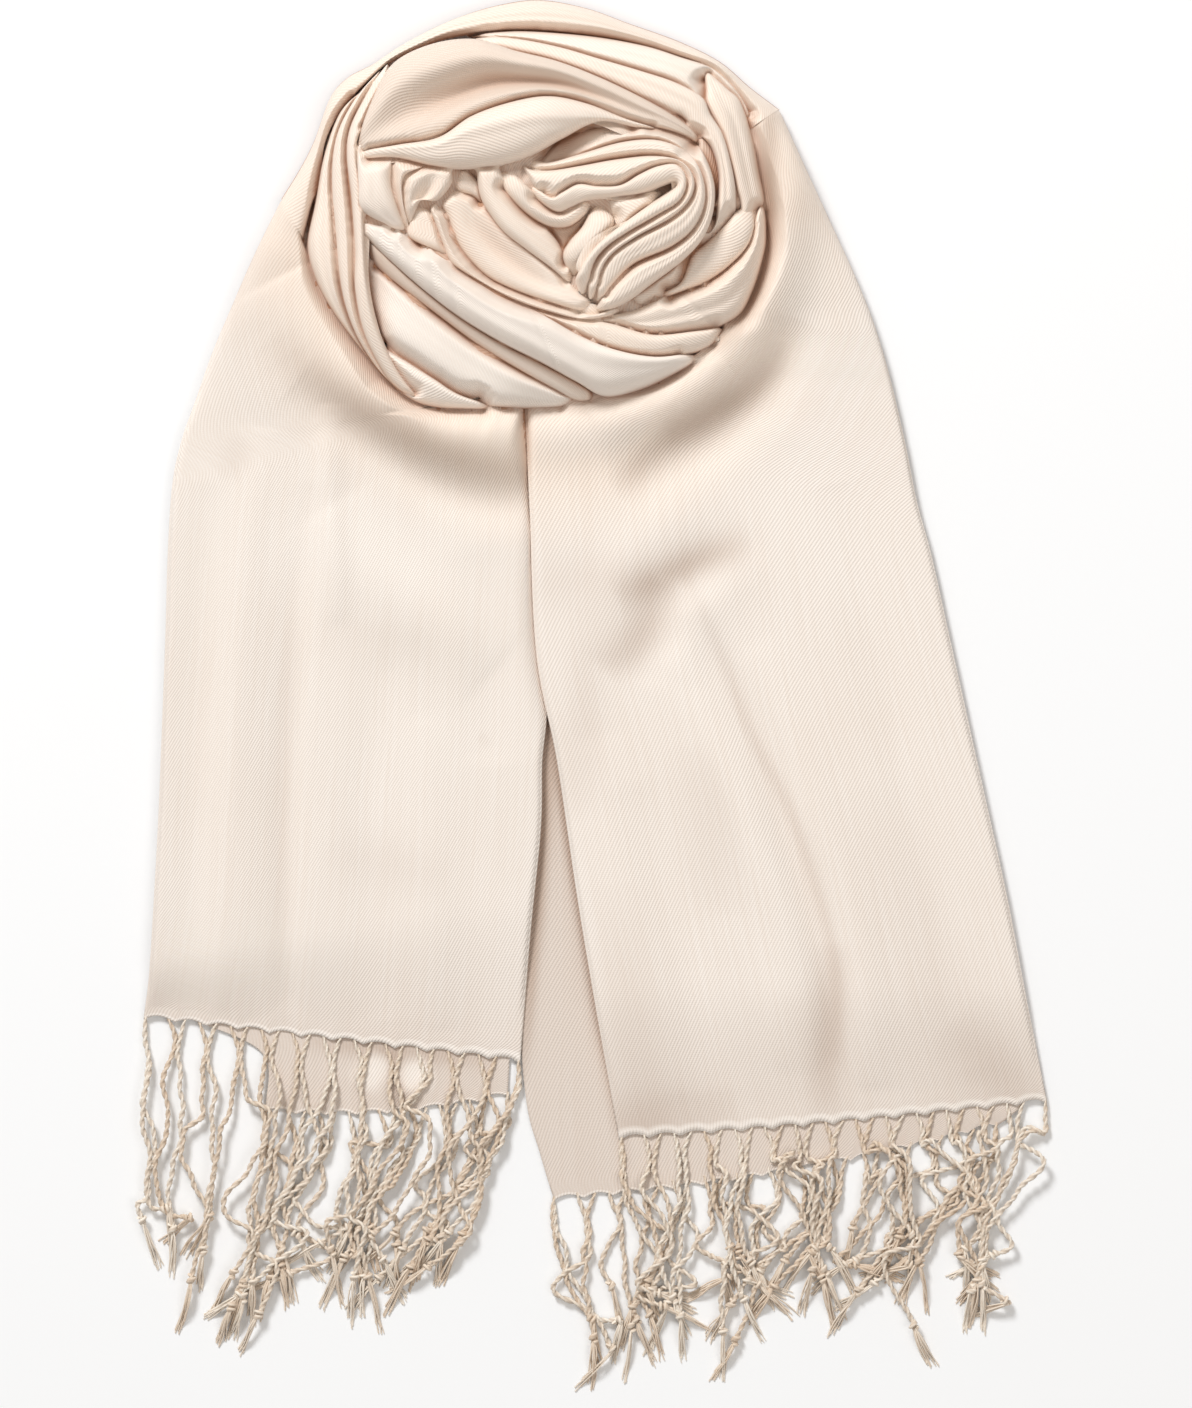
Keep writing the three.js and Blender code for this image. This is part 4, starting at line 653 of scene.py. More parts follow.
def lay_stretch(name, rows):
    rows = columns(rows, 8)
    length = np.hypot(*np.diff(np.array(rows)[:, [0, 1]], axis=0).T).sum()
    v = np.linspace(0, 1, int(np.clip(length / SECTION_STEP, FEWEST, MOST)))
    values = read_rows(rows, v)
    cover_out, away_out = covered_share(values[:, 0:2], values[:, 2:4], values[:, 4])
    cover_in, away_in = covered_share(values[:, 2:4], values[:, 0:2], values[:, 5])
    from_end = np.minimum(v, 1 - v) * length + (ENDLESS if name == "outer_wrap" else 0)
    band = lay_band(name, values, v, from_end, cover_out, cover_in)
    grid = np.concatenate([edge_strip(band[:, 0], cover_out, away_out)[:, ::-1], band,
                           edge_strip(band[:, -1], cover_in, away_in)], axis=1)
    grid[..., 2] -= (END_SINK * np.clip(1 - from_end / END_LONG, 0, 1) ** 2)[:, None]
    room = read_field(ceiling, grid[..., 0], grid[..., 1])
    height = np.maximum(np.minimum(grid[..., 2], room), LOWEST)
    height[1:-1] = 0.25 * height[:-2] + 0.5 * height[1:-1] + 0.25 * height[2:]
    grid[..., 2] = height
    if name != "outer_wrap":
        lower_ceiling(grid[from_end > END_LONG * END_UNCOVERED, len(LIP):-len(LIP)])
    across, along = measure(grid)
    return grid, np.stack([-across, along], -1)


coil_grids, cloth_uvs = {}, {}
for name, rows in COIL.items():
    coil_grids[name], cloth_uvs[name] = lay_stretch(name, rows)
print("coil:", len(coil_grids), "sheets, highest point",
      round(max(g[..., 2].max() for g in coil_grids.values()), 1), "mm")

# %% [markdown]
# ## The two tails
# Each end of the cloth is folded lengthwise, so a tail is a front layer over a back
# layer, with a rounded fold along its sides. The front layer is one grid that turns under
# at both sides; its hem is scalloped, because each knotted pair of strands pulls the edge
# down to a point. A row of these tables is one section across a tail: its outer edge x
# and y, its inner edge x and y, how far the section bows down, and how much its middle
# rises.

# %% Edges of the tails
LEFT_FRONT = [
    [-112, 0.5, -102, -15.5, 0, 12], [-123, -22, -99.5, -29, 0, 10],
    [-133, -45, -92, -44, 0, 7], [-141, -64, -81, -60, 0, 4], [-148, -84, -66, -77.5, 0, 2],
    [-154, -101, -45, -86, 0, 0.5], [-158, -120, 2, -80], [-160, -150, 5, -104],
    [-161, -185, 4, -150], [-162.5, -225, -0.5, -195], [-164, -262, 0.5, -232],
    [-166, -299, 0.5, -266], [-168, -330, -4, -312], [-170.5, -350, -8.5, -369, 0],
]
LEFT_BACK = [
    [-128, -42, -100, -46], [-142, -75, -76, -76], [-150, -105, -48, -95],
    [-155, -150, -10, -112], [-157, -190, -8, -160], [-160, -240, -4, -215],
    [-162, -290, -3, -266], [-164, -330, -8, -320], [-158, -346, -11, -350],
    [-120, -364, -13, -366], [-118, -390, -14, -383, 4.5],
]
RIGHT_FRONT = [
    [103, 40, 85.5, 27.6, 0, 12], [113, 18, 93, 5.5, 0, 11], [124, -6, 97.5, -14, 0, 9],
    [135, -30, 95, -33, 0, 6], [143, -50, 86, -50, 0, 3], [150, -73, 67, -68, 0, 1],
    [157, -103, 42, -78], [162, -128, 12, -80], [168, -150, -4.4, -86],
    [176, -186, -4.2, -140], [184, -222, -1.5, -195], [192, -258, 7, -238],
    [201, -299, 15.5, -295], [209, -341, 23.5, -343], [218, -386, 34, -402, 1.5],
]
RIGHT_BACK = [
    [136, -42, 100, -40], [146, -75, 72, -72], [156, -112, 20, -94], [166, -158, 1, -110],
    [178, -212, -1, -160], [189, -262, -1, -212], [198, -305, -3, -250],
    [206, -345, -6, -300], [212, -372, -9, -340], [208, -385, -6, -385],
    [203, -391, 0, -408], [196, -396, 6, -428, 5],
]
print("sections of the tails:", [len(t) for t in (LEFT_FRONT, LEFT_BACK, RIGHT_FRONT, RIGHT_BACK)])

# %% [markdown]
# A crease is its height, above 0 for a ridge and below 0 for a trough, its half width, and
# the line that it follows.

# %% Creases of the tails
LEFT_CREASES = [
    (12.5, 21, [[-108, -30], [-92, -60], [-74, -80], [-52, -92], [-28, -97], [2, -92],
              [22, -84]]),
    (-3.6, 10, [[-104, -76], [-86, -92], [-66, -106], [-42, -121], [-16, -128], [18, -122]]),
    (2.2, 6, [[-90, -86], [-91, -120], [-88, -152], [-86, -180]]),
    (2.4, 17, [[-90, -130], [-70, -160], [-40, -182], [-20, -200]]),
    (2.0, 9, [[-118, -96], [-126, -150], [-129, -230], [-129, -300], [-131, -352]]),
    (-1.9, 7, [[-98, -120], [-106, -180], [-110, -250], [-109, -310], [-107, -352]]),
    (-1.5, 8, [[-144, -120], [-147, -200], [-148, -280], [-150, -345]]),
    (-1.3, 10, [[-70, -195], [-74, -250], [-72, -300], [-66, -350]]),
    (1.3, 10, [[-50, -220], [-46, -270], [-44, -320], [-42, -355]]),
    (-1.2, 12, [[-30, -150], [-22, -200], [-20, -240]]),
]
RIGHT_CREASES = [
    (6, 14, [[-26, -94], [2, -96], [30, -92], [56, -82], [78, -66]]),
    (11, 14, [[22, -96], [50, -87], [70, -75], [84, -60], [95, -42], [101, -20], [106, 10],
              [108, 45]]),
    (-2.4, 10, [[34, -124], [58, -112], [80, -98], [98, -78], [110, -50]]),
    (-1.6, 11, [[88, -136], [75, -149], [63, -160], [52, -172], [46, -188], [44, -206]]),
    (1.2, 11, [[70, -128], [54, -138], [40, -150], [30, -168], [26, -196]]),
    (1.3, 11, [[92, -150], [78, -166], [66, -182], [60, -205]]),
    (-2.6, 8, [[65, -176], [73, -192], [86, -213], [99, -243], [107, -269], [116, -295],
               [122, -316], [125, -338], [125, -363], [127, -390]]),
    (2.6, 11, [[55, -190], [70, -222], [84, -252], [96, -286], [105, -320], [108, -372]]),
    (1.8, 10, [[92, -190], [110, -230], [124, -270], [136, -310], [142, -350], [144, -380]]),
    (-1.6, 12, [[128, -120], [142, -180], [158, -250], [172, -310], [184, -370]]),
    (1.6, 12, [[24, -230], [34, -280], [48, -330], [60, -385]]),
    (-1.4, 12, [[40, -250], [58, -310], [74, -380]]),
]
print("tail creases:", len(LEFT_CREASES) + len(RIGHT_CREASES))

# %% Places on a tail
SCALLOP, SCALLOP_DEEP, SCALLOP_FADE, SCALLOP_POWER = 13.3, 2.2, 7, 0.75
HEM_FROM, HEM_SECTIONS = 0.97, 10


def panel_columns(rows, v):
    """Every column of a tail's table at each v: two edges, the bow and the rise."""
    return [c[:, None] for c in read_rows(columns(rows, 6), v).T]


def on_panel(rows, v, u):
    ox, oy, ix, iy, bow, _ = panel_columns(rows, v)
    return ox + (ix - ox) * u, oy + (iy - oy) * u - bow * 4 * u * (1 - u)


def panel_places(rows, row_step, column_step, hem_start):
    """Rows down a tail, closer together at its hem, and columns across it."""
    length = abs(rows[0][1] - rows[-1][1])
    v = np.concatenate([np.linspace(0, HEM_FROM, int(length / row_step)),
                        np.linspace(hem_start, 1, HEM_SECTIONS)])
    widest = max(math.hypot(r[0] - r[2], r[1] - r[3]) for r in rows)
    return length, v, np.linspace(0, 1, int(widest / column_step))[None, :]


def scallops(x, y):
    """Moves the last stretch before the hem up, between the points of the hem."""
    hem = np.hypot(*(np.diff(x[-1]), np.diff(y[-1]))).cumsum()
    hem = np.concatenate([[0], hem])
    points = max(1, round(hem[-1] / SCALLOP))
    lift = SCALLOP_DEEP * np.abs(np.sin(math.pi * hem / hem[-1] * points)) ** SCALLOP_POWER
    far = np.hypot(x - x[-1:], y - y[-1:]) / SCALLOP_FADE
    return y + lift[None, :] * np.exp(-(far ** 2))


print("points of a hem are", SCALLOP, "mm apart and", SCALLOP_DEEP, "mm deep")

# %% [markdown]
# The folded side of a tail is a half circle with a short return under the sheet.

# %% Turn the sides of a tail under
FOLD_RADIUS = 1.05
RETURNS, FOLD_TURNS = (5.0, 2.0), (-90, -60, -30, 0, 30, 60)
TURNED = len(RETURNS) + len(FOLD_TURNS)


def turned_edge(rim, inward):
    strip = []
    for step in RETURNS:
        strip.append(np.column_stack([rim[:, :2] + inward * step, rim[:, 2] - 2 * FOLD_RADIUS]))
    for turn in FOLD_TURNS:
        out = FOLD_RADIUS * math.cos(math.radians(turn))
        up = FOLD_RADIUS * (math.sin(math.radians(turn)) - 1)
        strip.append(np.column_stack([rim[:, :2] + inward * (FOLD_RADIUS - out),
                                      rim[:, 2] + up]))
    return np.stack(strip, 1)


def add_turned_edges(grid):
    sides, body = [], grid.copy()
    for edge, inner in ((0, 3), (-1, -4)):
        inward = grid[:, inner, :2] - grid[:, edge, :2]
        inward = inward / np.linalg.norm(inward, axis=1)[:, None]
        sides.append(turned_edge(grid[:, edge], inward))
        body[:, edge, :2] = grid[:, edge, :2] + inward * FOLD_RADIUS
    return np.concatenate([sides[0], body, sides[1][:, ::-1]], axis=1)


print("a turned side has", TURNED, "rows of points")

# %% [markdown]
# The outer wrap goes on as the two tails. So a tail starts at the height where the wrap
# ends, and two rows of it go on a little way under the wrap, which closes the join.

# %% Join a tail to the wrap
JOIN_LONG = 26
TONGUE_LOWER, TONGUE_EDGE, TONGUE_FALL = (1.5, 0.4), 0.04, 1.5


def rim_of(wrap_row):
    """The points of one row of the wrap between its edges, and how far across they are."""
    rim = wrap_row[len(LIP):-len(LIP)]
    return rim, np.linalg.norm(rim[:, :2] - rim[0, :2], axis=1)


def join_to_wrap(z, u, v, length, wrap_row):
    """What to add so that the tail starts at the height where the outer wrap ends."""
    rim, across = rim_of(wrap_row)
    wrap_height = np.interp(u[0], across / across[-1], rim[:, 2])
    fade = np.clip(1 - v * length / JOIN_LONG, 0, 1)
    fade = fade * fade * (3 - 2 * fade)
    return (wrap_height - z[0])[None, :] * fade[:, None]


def tongue(wrap_rows, u):
    """Two rows that carry the tail on, a little way under the wrap that it comes from."""
    u = np.concatenate([[TONGUE_EDGE] * TURNED, np.clip(u, TONGUE_EDGE, None), [u[-1]] * TURNED])
    made = []
    for row, lower in zip(wrap_rows, TONGUE_LOWER):
        rim, far = rim_of(row)
        places = np.column_stack([np.interp(u, far / far[-1], rim[:, k]) for k in range(3)])
        beyond = np.clip(u - 1, 0, None)[:, None]
        places += beyond * np.append(rim[-1, :2] - rim[0, :2], -TONGUE_FALL) - [0, 0, lower]
        made.append(places)
    return np.stack(made)


print("a tail takes", JOIN_LONG, "mm to come down from the height of the wrap")

# %% [markdown]
# The front layer is nearly level, rounded off along its sides, lower at its hem, and
# raised and sunk by its creases. Where the coil lies over its inner side, it goes on
# underneath. At last it is pressed to the ceiling, like the stretches of the coil, and
# the dent that this leaves is made even along the tail.

# %% Lay the front layer of a tail
TAIL_TOP, TAIL_EDGE, INNER_EDGE, ROUND = 7.4, 5.2, 6.3, 3.5
HEM_SINK, HEM_LONG, HEM_THIN = 4.8, 34, 2.2
FRONT_STEPS = 2.1, 1.45, 0.9725
TUCK_HIGH, TUCK_LOW, TUCK_FROM, TUCK_FADE, TUCK_AHEAD = 15, 3.5, 0.56, 0.2, 4
WRAP_ROWS, WRAP_ROOM, PRESS_LOWEST, PRESS_SLACK, DENT_PASSES = 8, 5, 2.0, 0.6, 10


def tucked_under(rows, v):
    """How much farther the inner side goes, where the coil or the other tail covers it."""
    ox, oy, ix, iy, _, rise = panel_columns(rows, v)
    cover, _ = covered_share(np.column_stack([ix, iy]), np.column_stack([ox, oy]),
                             TAIL_TOP + rise[:, 0], TUCK_AHEAD)
    beside_coil = np.clip((TUCK_FROM - v) / TUCK_FADE, 0, 1)
    tuck = TUCK_LOW + (TUCK_HIGH - TUCK_LOW) * beside_coil
    return (soften(soften(cover, 2), 6) * tuck)[:, None], np.hypot(ox - ix, oy - iy)


def press_down(grid):
    """Heights under the coil, with the dent that its edge leaves made even."""
    near_wrap = np.clip(1 - np.arange(len(grid)) / WRAP_ROWS, 0, 1)[:, None]
    room = read_field(ceiling, grid[..., 0], grid[..., 1]) + WRAP_ROOM * near_wrap
    free = np.maximum(grid[..., 2], PRESS_LOWEST)
    dent = np.maximum(free - room, 0)
    for _ in range(DENT_PASSES):
        dent[4:-4] = 0.25 * dent[3:-5] + 0.5 * dent[4:-4] + 0.25 * dent[5:-3]
    return np.maximum(np.minimum(free - dent, room + PRESS_SLACK), PRESS_LOWEST)


def lay_front(rows, creases, wrap_rows):
    length, v, u = panel_places(rows, *FRONT_STEPS)
    tuck, wide = tucked_under(rows, v)
    u = u * (1 + tuck / wide)
    x, y = on_panel(rows, v, u)
    rise = np.maximum(0, panel_columns(rows, v)[5]) * arch(np.clip(u / u[:, -1:], 0, 1))
    inside = np.clip(np.minimum(u, u[:, -1:] - u) * (wide + tuck) / ROUND, 0, 1)
    round_off = np.sqrt(1 - (1 - inside) ** 2)
    edge = np.where(u < 0.5, TAIL_EDGE, INNER_EDGE)
    z = edge + (TAIL_TOP - edge) * round_off + rise + relief(creases, x, y) * inside
    near_hem = np.clip(1 - (1 - v[:, None]) * length / HEM_LONG, 0, 1)
    z = z - HEM_SINK * near_hem ** 2 * (3 - 2 * near_hem)
    z = np.maximum(z, TAIL_EDGE - 0.4 - HEM_THIN * near_hem)
    y = scallops(x, y)
    z = z + join_to_wrap(z, u, v, length, wrap_rows[0])
    grid = add_turned_edges(np.stack([x, y, z], -1))
    grid = np.concatenate([tongue(wrap_rows[1:], u[0]), grid])
    grid[..., 2] = press_down(grid)
    return grid


def tail_uv(grid, mirrored):
    """Millimetres across from the tail's middle, and along it."""
    across, along = measure(grid)
    across = across - across[:, across.shape[1] // 2][:, None]
    return np.stack([-across if mirrored else across, along], -1)


tail_grids = {}
wrap = coil_grids["outer_wrap"]
for side, rows, creases, wrap_rows in (
        ("right", RIGHT_FRONT, RIGHT_CREASES, [wrap[-1], wrap[-9], wrap[-4]]),
        ("left", LEFT_FRONT, LEFT_CREASES, [wrap[0], wrap[8], wrap[3]])):
    grid = tail_grids[side] = lay_front(rows, creases, wrap_rows)
    cloth_uvs[side + "_tail_front"] = tail_uv(grid, side == "right")
    lower_ceiling(grid, TAIL_BANK)
    print(side, "tail grid", grid.shape[:2], "highest", grid[..., 2].max().round(1), "mm")
lower_ceiling(wrap[:, len(LIP):-len(LIP)])

# %% [markdown]
# Under the visible stretches more cloth is wound on itself. Only glimpses of it show
# deep in the folds, so it is one low hump just below the ceiling that the stretches left.

# %% Fill the coil's inside
HEAP_CENTRE, HEAP_ANGLES, HEAP_RINGS = (-5, -8), 120, 26
HEAP_TOP, HEAP_FALL, HEAP_LOW, HEAP_CLEAR, WALL_STEEP = 36, 14, 3, 0.3, 60
LEAST_REACH, MOST_REACH, SET_BACK, REACH_EVEN = 20, 125, 13, 4
covered = surface > 0


def heap_reach(angle):
    """How far the hump goes this way: to a little inside the last cloth that covers it."""
    r = np.arange(LEAST_REACH, MOST_REACH, CELL)
    x, y = HEAP_CENTRE[0] + r * math.cos(angle), HEAP_CENTRE[1] + r * math.sin(angle)
    cx, cy = field_places(x, y)
    inside = covered[np.clip(cx.astype(int), 0, FIELD_SIZE[0] - 1),
                     np.clip(cy.astype(int), 0, FIELD_SIZE[1] - 1)]
    return r[inside].max() - SET_BACK


angles = np.linspace(0, 2 * math.pi, HEAP_ANGLES + 1)
reach = np.array([heap_reach(a) for a in angles])
even = np.ones(2 * REACH_EVEN + 1) / (2 * REACH_EVEN + 1)
reach = np.convolve(np.pad(reach[:-1], REACH_EVEN, mode="wrap"), even, "valid")
reach = np.append(reach, reach[0])
ring = np.sin(np.linspace(0.03, math.pi / 2, HEAP_RINGS))[None, :]
hx = HEAP_CENTRE[0] + reach[:, None] * ring * np.cos(angles)[:, None]
hy = HEAP_CENTRE[1] + reach[:, None] * ring * np.sin(angles)[:, None]
hz = np.minimum(read_field(ceiling, hx, hy) - HEAP_CLEAR, HEAP_TOP - HEAP_FALL * ring ** 2)
wall = ring ** WALL_STEEP
hz = np.maximum(hz, HEAP_LOW) * (1 - wall) + HEAP_LOW * wall
heap = np.stack([hx, hy, hz], -1)
cloth_uvs["coil_inner_layers"] = np.stack(
    [reach[:, None] * ring, angles[:, None] * 40 + 0 * ring], -1)
print("inside of the coil reaches", reach.round().min(), "to", reach.round().max(), "mm")

# %% [markdown]
# The back layer lies flat on the floor and shows beside and below the front one. The
# layers between the two follow the front a little way in, and only close the view
# between front and back.

# %% Lay the back and inner layers
BACK_STEPS = 3, 1.4, 0.975
BACK_TOP, BACK_WAVE, BACK_ROUND = 1.55, 0.25, 12
INNER_LOWER, INNER_LOWEST = 2.6, 1.9


def lay_back(rows):
    _, v, u = panel_places(rows, *BACK_STEPS)
    x, y = on_panel(rows, v, u)
    ox, oy, ix, iy, _, _ = panel_columns(rows, v)
    inside = np.clip(np.minimum(u, 1 - u) * np.hypot(ox - ix, oy - iy) / BACK_ROUND, 0, 1)
    wave = BACK_WAVE * np.sin(x * 0.11 + y * 0.05) * inside
    return np.stack([x, scallops(x, y), BACK_TOP + wave], -1)


def lay_inner(grid):
    """A coarser sheet just under the front one, short of its sides and its hem."""
    inner = grid[6:-12:4, 20:-20:4].copy()
    inner[..., 2] = np.maximum(inner[..., 2] - INNER_LOWER, INNER_LOWEST)
    return inner


for side, rows in (("left", LEFT_BACK), ("right", RIGHT_BACK)):
    tail_grids[side + "_back"] = lay_back(rows)
    tail_grids[side + "_inner"] = lay_inner(tail_grids[side])
    for layer, sheet in (("back", "_tail_back"), ("inner", "_tail_inner_layers")):
        cloth_uvs[side + sheet] = tail_uv(tail_grids[f"{side}_{layer}"], side == "right")
    lower_ceiling(tail_grids[side + "_back"])
print("tail layers:", list(tail_grids))

# %% [markdown]
# The cloth is painted darker as shade in the valleys beside the coil and along the
# creases, darker towards the hem, and painted lighter as light and sheen in other places.
# These painted shades and lights are placed like the creases: above 0 is darker, below 0 lighter.

# %% Lighter and darker places of the tails
LEFT_PAINTED_SHADE_AND_LIGHT = [
    (0.5, 9.5, [[-116, -56], [-90, -79], [-69, -93], [-43, -106], [-17, -114], [17, -117]]),
    (0.13, 4.5, [[-103, -153], [-108, -213], [-111, -277], [-114, -368]]),
    (0.06, 3.5, [[-127, -170], [-130, -256], [-136, -359]]),
    (0.1, 13, [[-99, -181], [-43, -187]]),
    (0.1, 12, [[-95, -277], [-39, -290]]),
    (0.26, 40, [[-258, -368], [69, -389]]),
    (-0.25, 24, [[-133, -144], [-22, -155]]),
    (-0.12, 15, [[-69, -221], [-30, -239]]),
    (0.12, 10, [[-168, -101], [-172, -376]]),
    (0.22, 24, [[-168, -54], [-90, -2]]),
    (0.16, 3, [[-5, -114], [-7, -170], [0, -230]]),
    (0.12, 7, [[-125, -101], [-136, -118]]),
    (0.1, 2.0, [[-27, -227], [-22, -232]]),
]
RIGHT_PAINTED_SHADE_AND_LIGHT = [
    (0.75, 4.4, [[97, 46], [98, 34], [98, 14], [98, 0], [97, -13], [94, -27], [90, -40],
      [83, -54], [73, -64]]),
    (-0.35, 14, [[112, -6], [114, -84]]),
    (0.52, 7, [[112, -49], [98, -73], [74, -90], [49, -105], [33, -124]]),
    (0.52, 7.5, [[32, -169], [54, -159], [69, -152], [92, -144]]),
    (0.38, 9.5, [[28, -202], [43, -185], [56, -163]]),
    (0.16, 14, [[-4, -161], [52, -163]]),
    (0.22, 3.2, [[62, -157], [77, -191], [90, -226], [107, -260], [120, -299], [128, -333],
      [127, -372]]),
    (-0.1, 8, [[60, -191], [86, -247], [103, -299], [107, -342]]),
    (0.34, 7.5, [[125, -316], [122, -393]]),
    (0.14, 14, [[34, -290], [43, -385], [47, -445]]),
    (0.24, 13, [[13, -398], [86, -389]]),
    (0.14, 42, [[-60, -402], [301, -376]]),
    (0.1, 20, [[142, -247], [193, -402]]),
    (0.2, 13, [[176, -350], [224, -402]]),
    (0.12, 15, [[69, -230], [79, -307]]),
    (0.16, 10, [[22, -170], [19, -221], [16, -264]]),
    (-0.3, 9, [[-9, -101], [56, -100]]),
    (-0.12, 16, [[95, -118], [138, -178]]),
]
# Painted shadows of the tails' inner edges, on the back layer between the two tails.
BETWEEN_PAINTED_SHADOWS = [
    (0.5, 3.2, [[2, -213], [2, -256], [-2, -312], [-8, -380]]),
    (0.5, 3.2, [[4, -213], [9, -247], [17, -294], [25, -342], [38, -419]]),
]
LEFT_BACK_PAINTED_SHADE_AND_LIGHT = [
    (-0.6, 6, [[-61, -378], [-47, -370]]),
    (-0.5, 6, [[-77, -380], [-67, -365]]),
    (0.3, 3.5, [[-63, -363], [-60, -389]]),
    (0.3, 5, [[-103, -359], [-17, -368]]),
]
BACK_PAINTED_SHADE = 0.3
# Painted shade and light of each sheet: a base over the whole sheet, and its lines. The coil's
# stretches get only a base: painted shade above 0, painted light below 0.
PAINTED_SHADE_AND_LIGHT = {"left_tail_front": (0, LEFT_PAINTED_SHADE_AND_LIGHT), "right_tail_front": (0, RIGHT_PAINTED_SHADE_AND_LIGHT),
         "left_tail_back": (BACK_PAINTED_SHADE, LEFT_BACK_PAINTED_SHADE_AND_LIGHT),
         "right_tail_back": (BACK_PAINTED_SHADE, BETWEEN_PAINTED_SHADOWS),
         "top_flap": (0.25, []), "flap_rolled_edge": (-0.1, []), "outer_wrap": (0.08, []),
         "front_leaf": (-0.5, []), "lowest_front": (-0.5, []), "front_crescent": (-0.4, []),
         "outer_top_band": (-0.2, []), "pocket_floor": (0.25, []), "ruffle_left": (-0.2, [])}
# The last rows of each tail and the hem's rim, which faces away from the lamp, are painted
# lighter: painted light.
HEM_ROWS, HEM_PAINTED_LIGHT = 2, -0.45
print("tones:", len(LEFT_PAINTED_SHADE_AND_LIGHT) + len(RIGHT_PAINTED_SHADE_AND_LIGHT) + len(BETWEEN_PAINTED_SHADOWS))

# %% [markdown]
# Light hardly reaches the bottom of a fold, and there the cream turns brown. To paint
# that, the height field is blurred: where a point lies below the blurred height it is in
# a hollow. A narrow blur finds the creases, and a wide one finds the broad valleys.

# %% Measure the hollows and make the sheets
COIL_HOLLOW, TAIL_HOLLOW = 0.8, 0.35
# Width of the blur, depths where a hollow starts and has become full, and its share.
HOLLOWS = (1.6, 0.4, 3.0, 0.45), (5.0, 0.2, 5.0, 0.65)


def blurred(field, sigma):
    reach = int(3 * sigma / CELL)
    kernel = np.exp(-0.5 * (np.arange(-reach, reach + 1) * CELL / sigma) ** 2)
    kernel = kernel / kernel.sum()
    for axis in (0, 1):
        moved = np.moveaxis(field, axis, 0)
        wide = np.pad(moved, ((reach, reach), (0, 0)), mode="edge")
        total = sum(k * wide[i:i + len(moved)] for i, k in enumerate(kernel))
        field = np.moveaxis(total, 0, axis)
    return field


BLURS = [blurred(surface, sigma) for sigma, *_ in HOLLOWS]


def hollow(grid, strength):
    x, y, z = (grid[..., k] for k in range(3))
    deep = sum(share * np.clip((read_field(blur, x, y) - z - start) / full, 0, 1)
               for blur, (_, start, full, share) in zip(BLURS, HOLLOWS))
    return np.clip(strength * deep, 0, 1)


sheets, pieces = {**coil_grids, "coil_inner_layers": heap}, {}
for side in ("left", "right"):
    sheets[side + "_tail_front"] = tail_grids[side]
    sheets[side + "_tail_back"] = tail_grids[side + "_back"]
    sheets[side + "_tail_inner_layers"] = tail_grids[side + "_inner"]
for name, grid in sheets.items():
    in_tail = "tail" in name
    base, lines = PAINTED_SHADE_AND_LIGHT.get(name, (0, []))
    # Painted shade and light of this sheet: its base and its lines.
    tone = base + relief(lines, grid[..., 0], grid[..., 1])
    # Painted light along the hem.
    if in_tail:
        tone[-HEM_ROWS:] += HEM_PAINTED_LIGHT
    folds = hollow(grid, TAIL_HOLLOW if in_tail else COIL_HOLLOW)
    sheet = grid_mesh(name + "_cloth", grid, cloth_uvs[name], folds, tone)
    if name not in coil_grids:
        thicken(sheet, TAIL_THICK if in_tail else CLOTH_THICK)
    pieces[name] = sheet
print(len(pieces), "sheets of cloth")

# %% [markdown]
# ## The knotted fringe
# Pairs of two-ply strands leave each point of the hem. They were twisted by hand, tied
# off in a knot, and the ends below the knot are left open as a small tassel. They lie as
# they fell, in locks that lean together. A table gives each lock: the points of the hem
# it leaves from, the levels where it draws together, and where its ends lie.

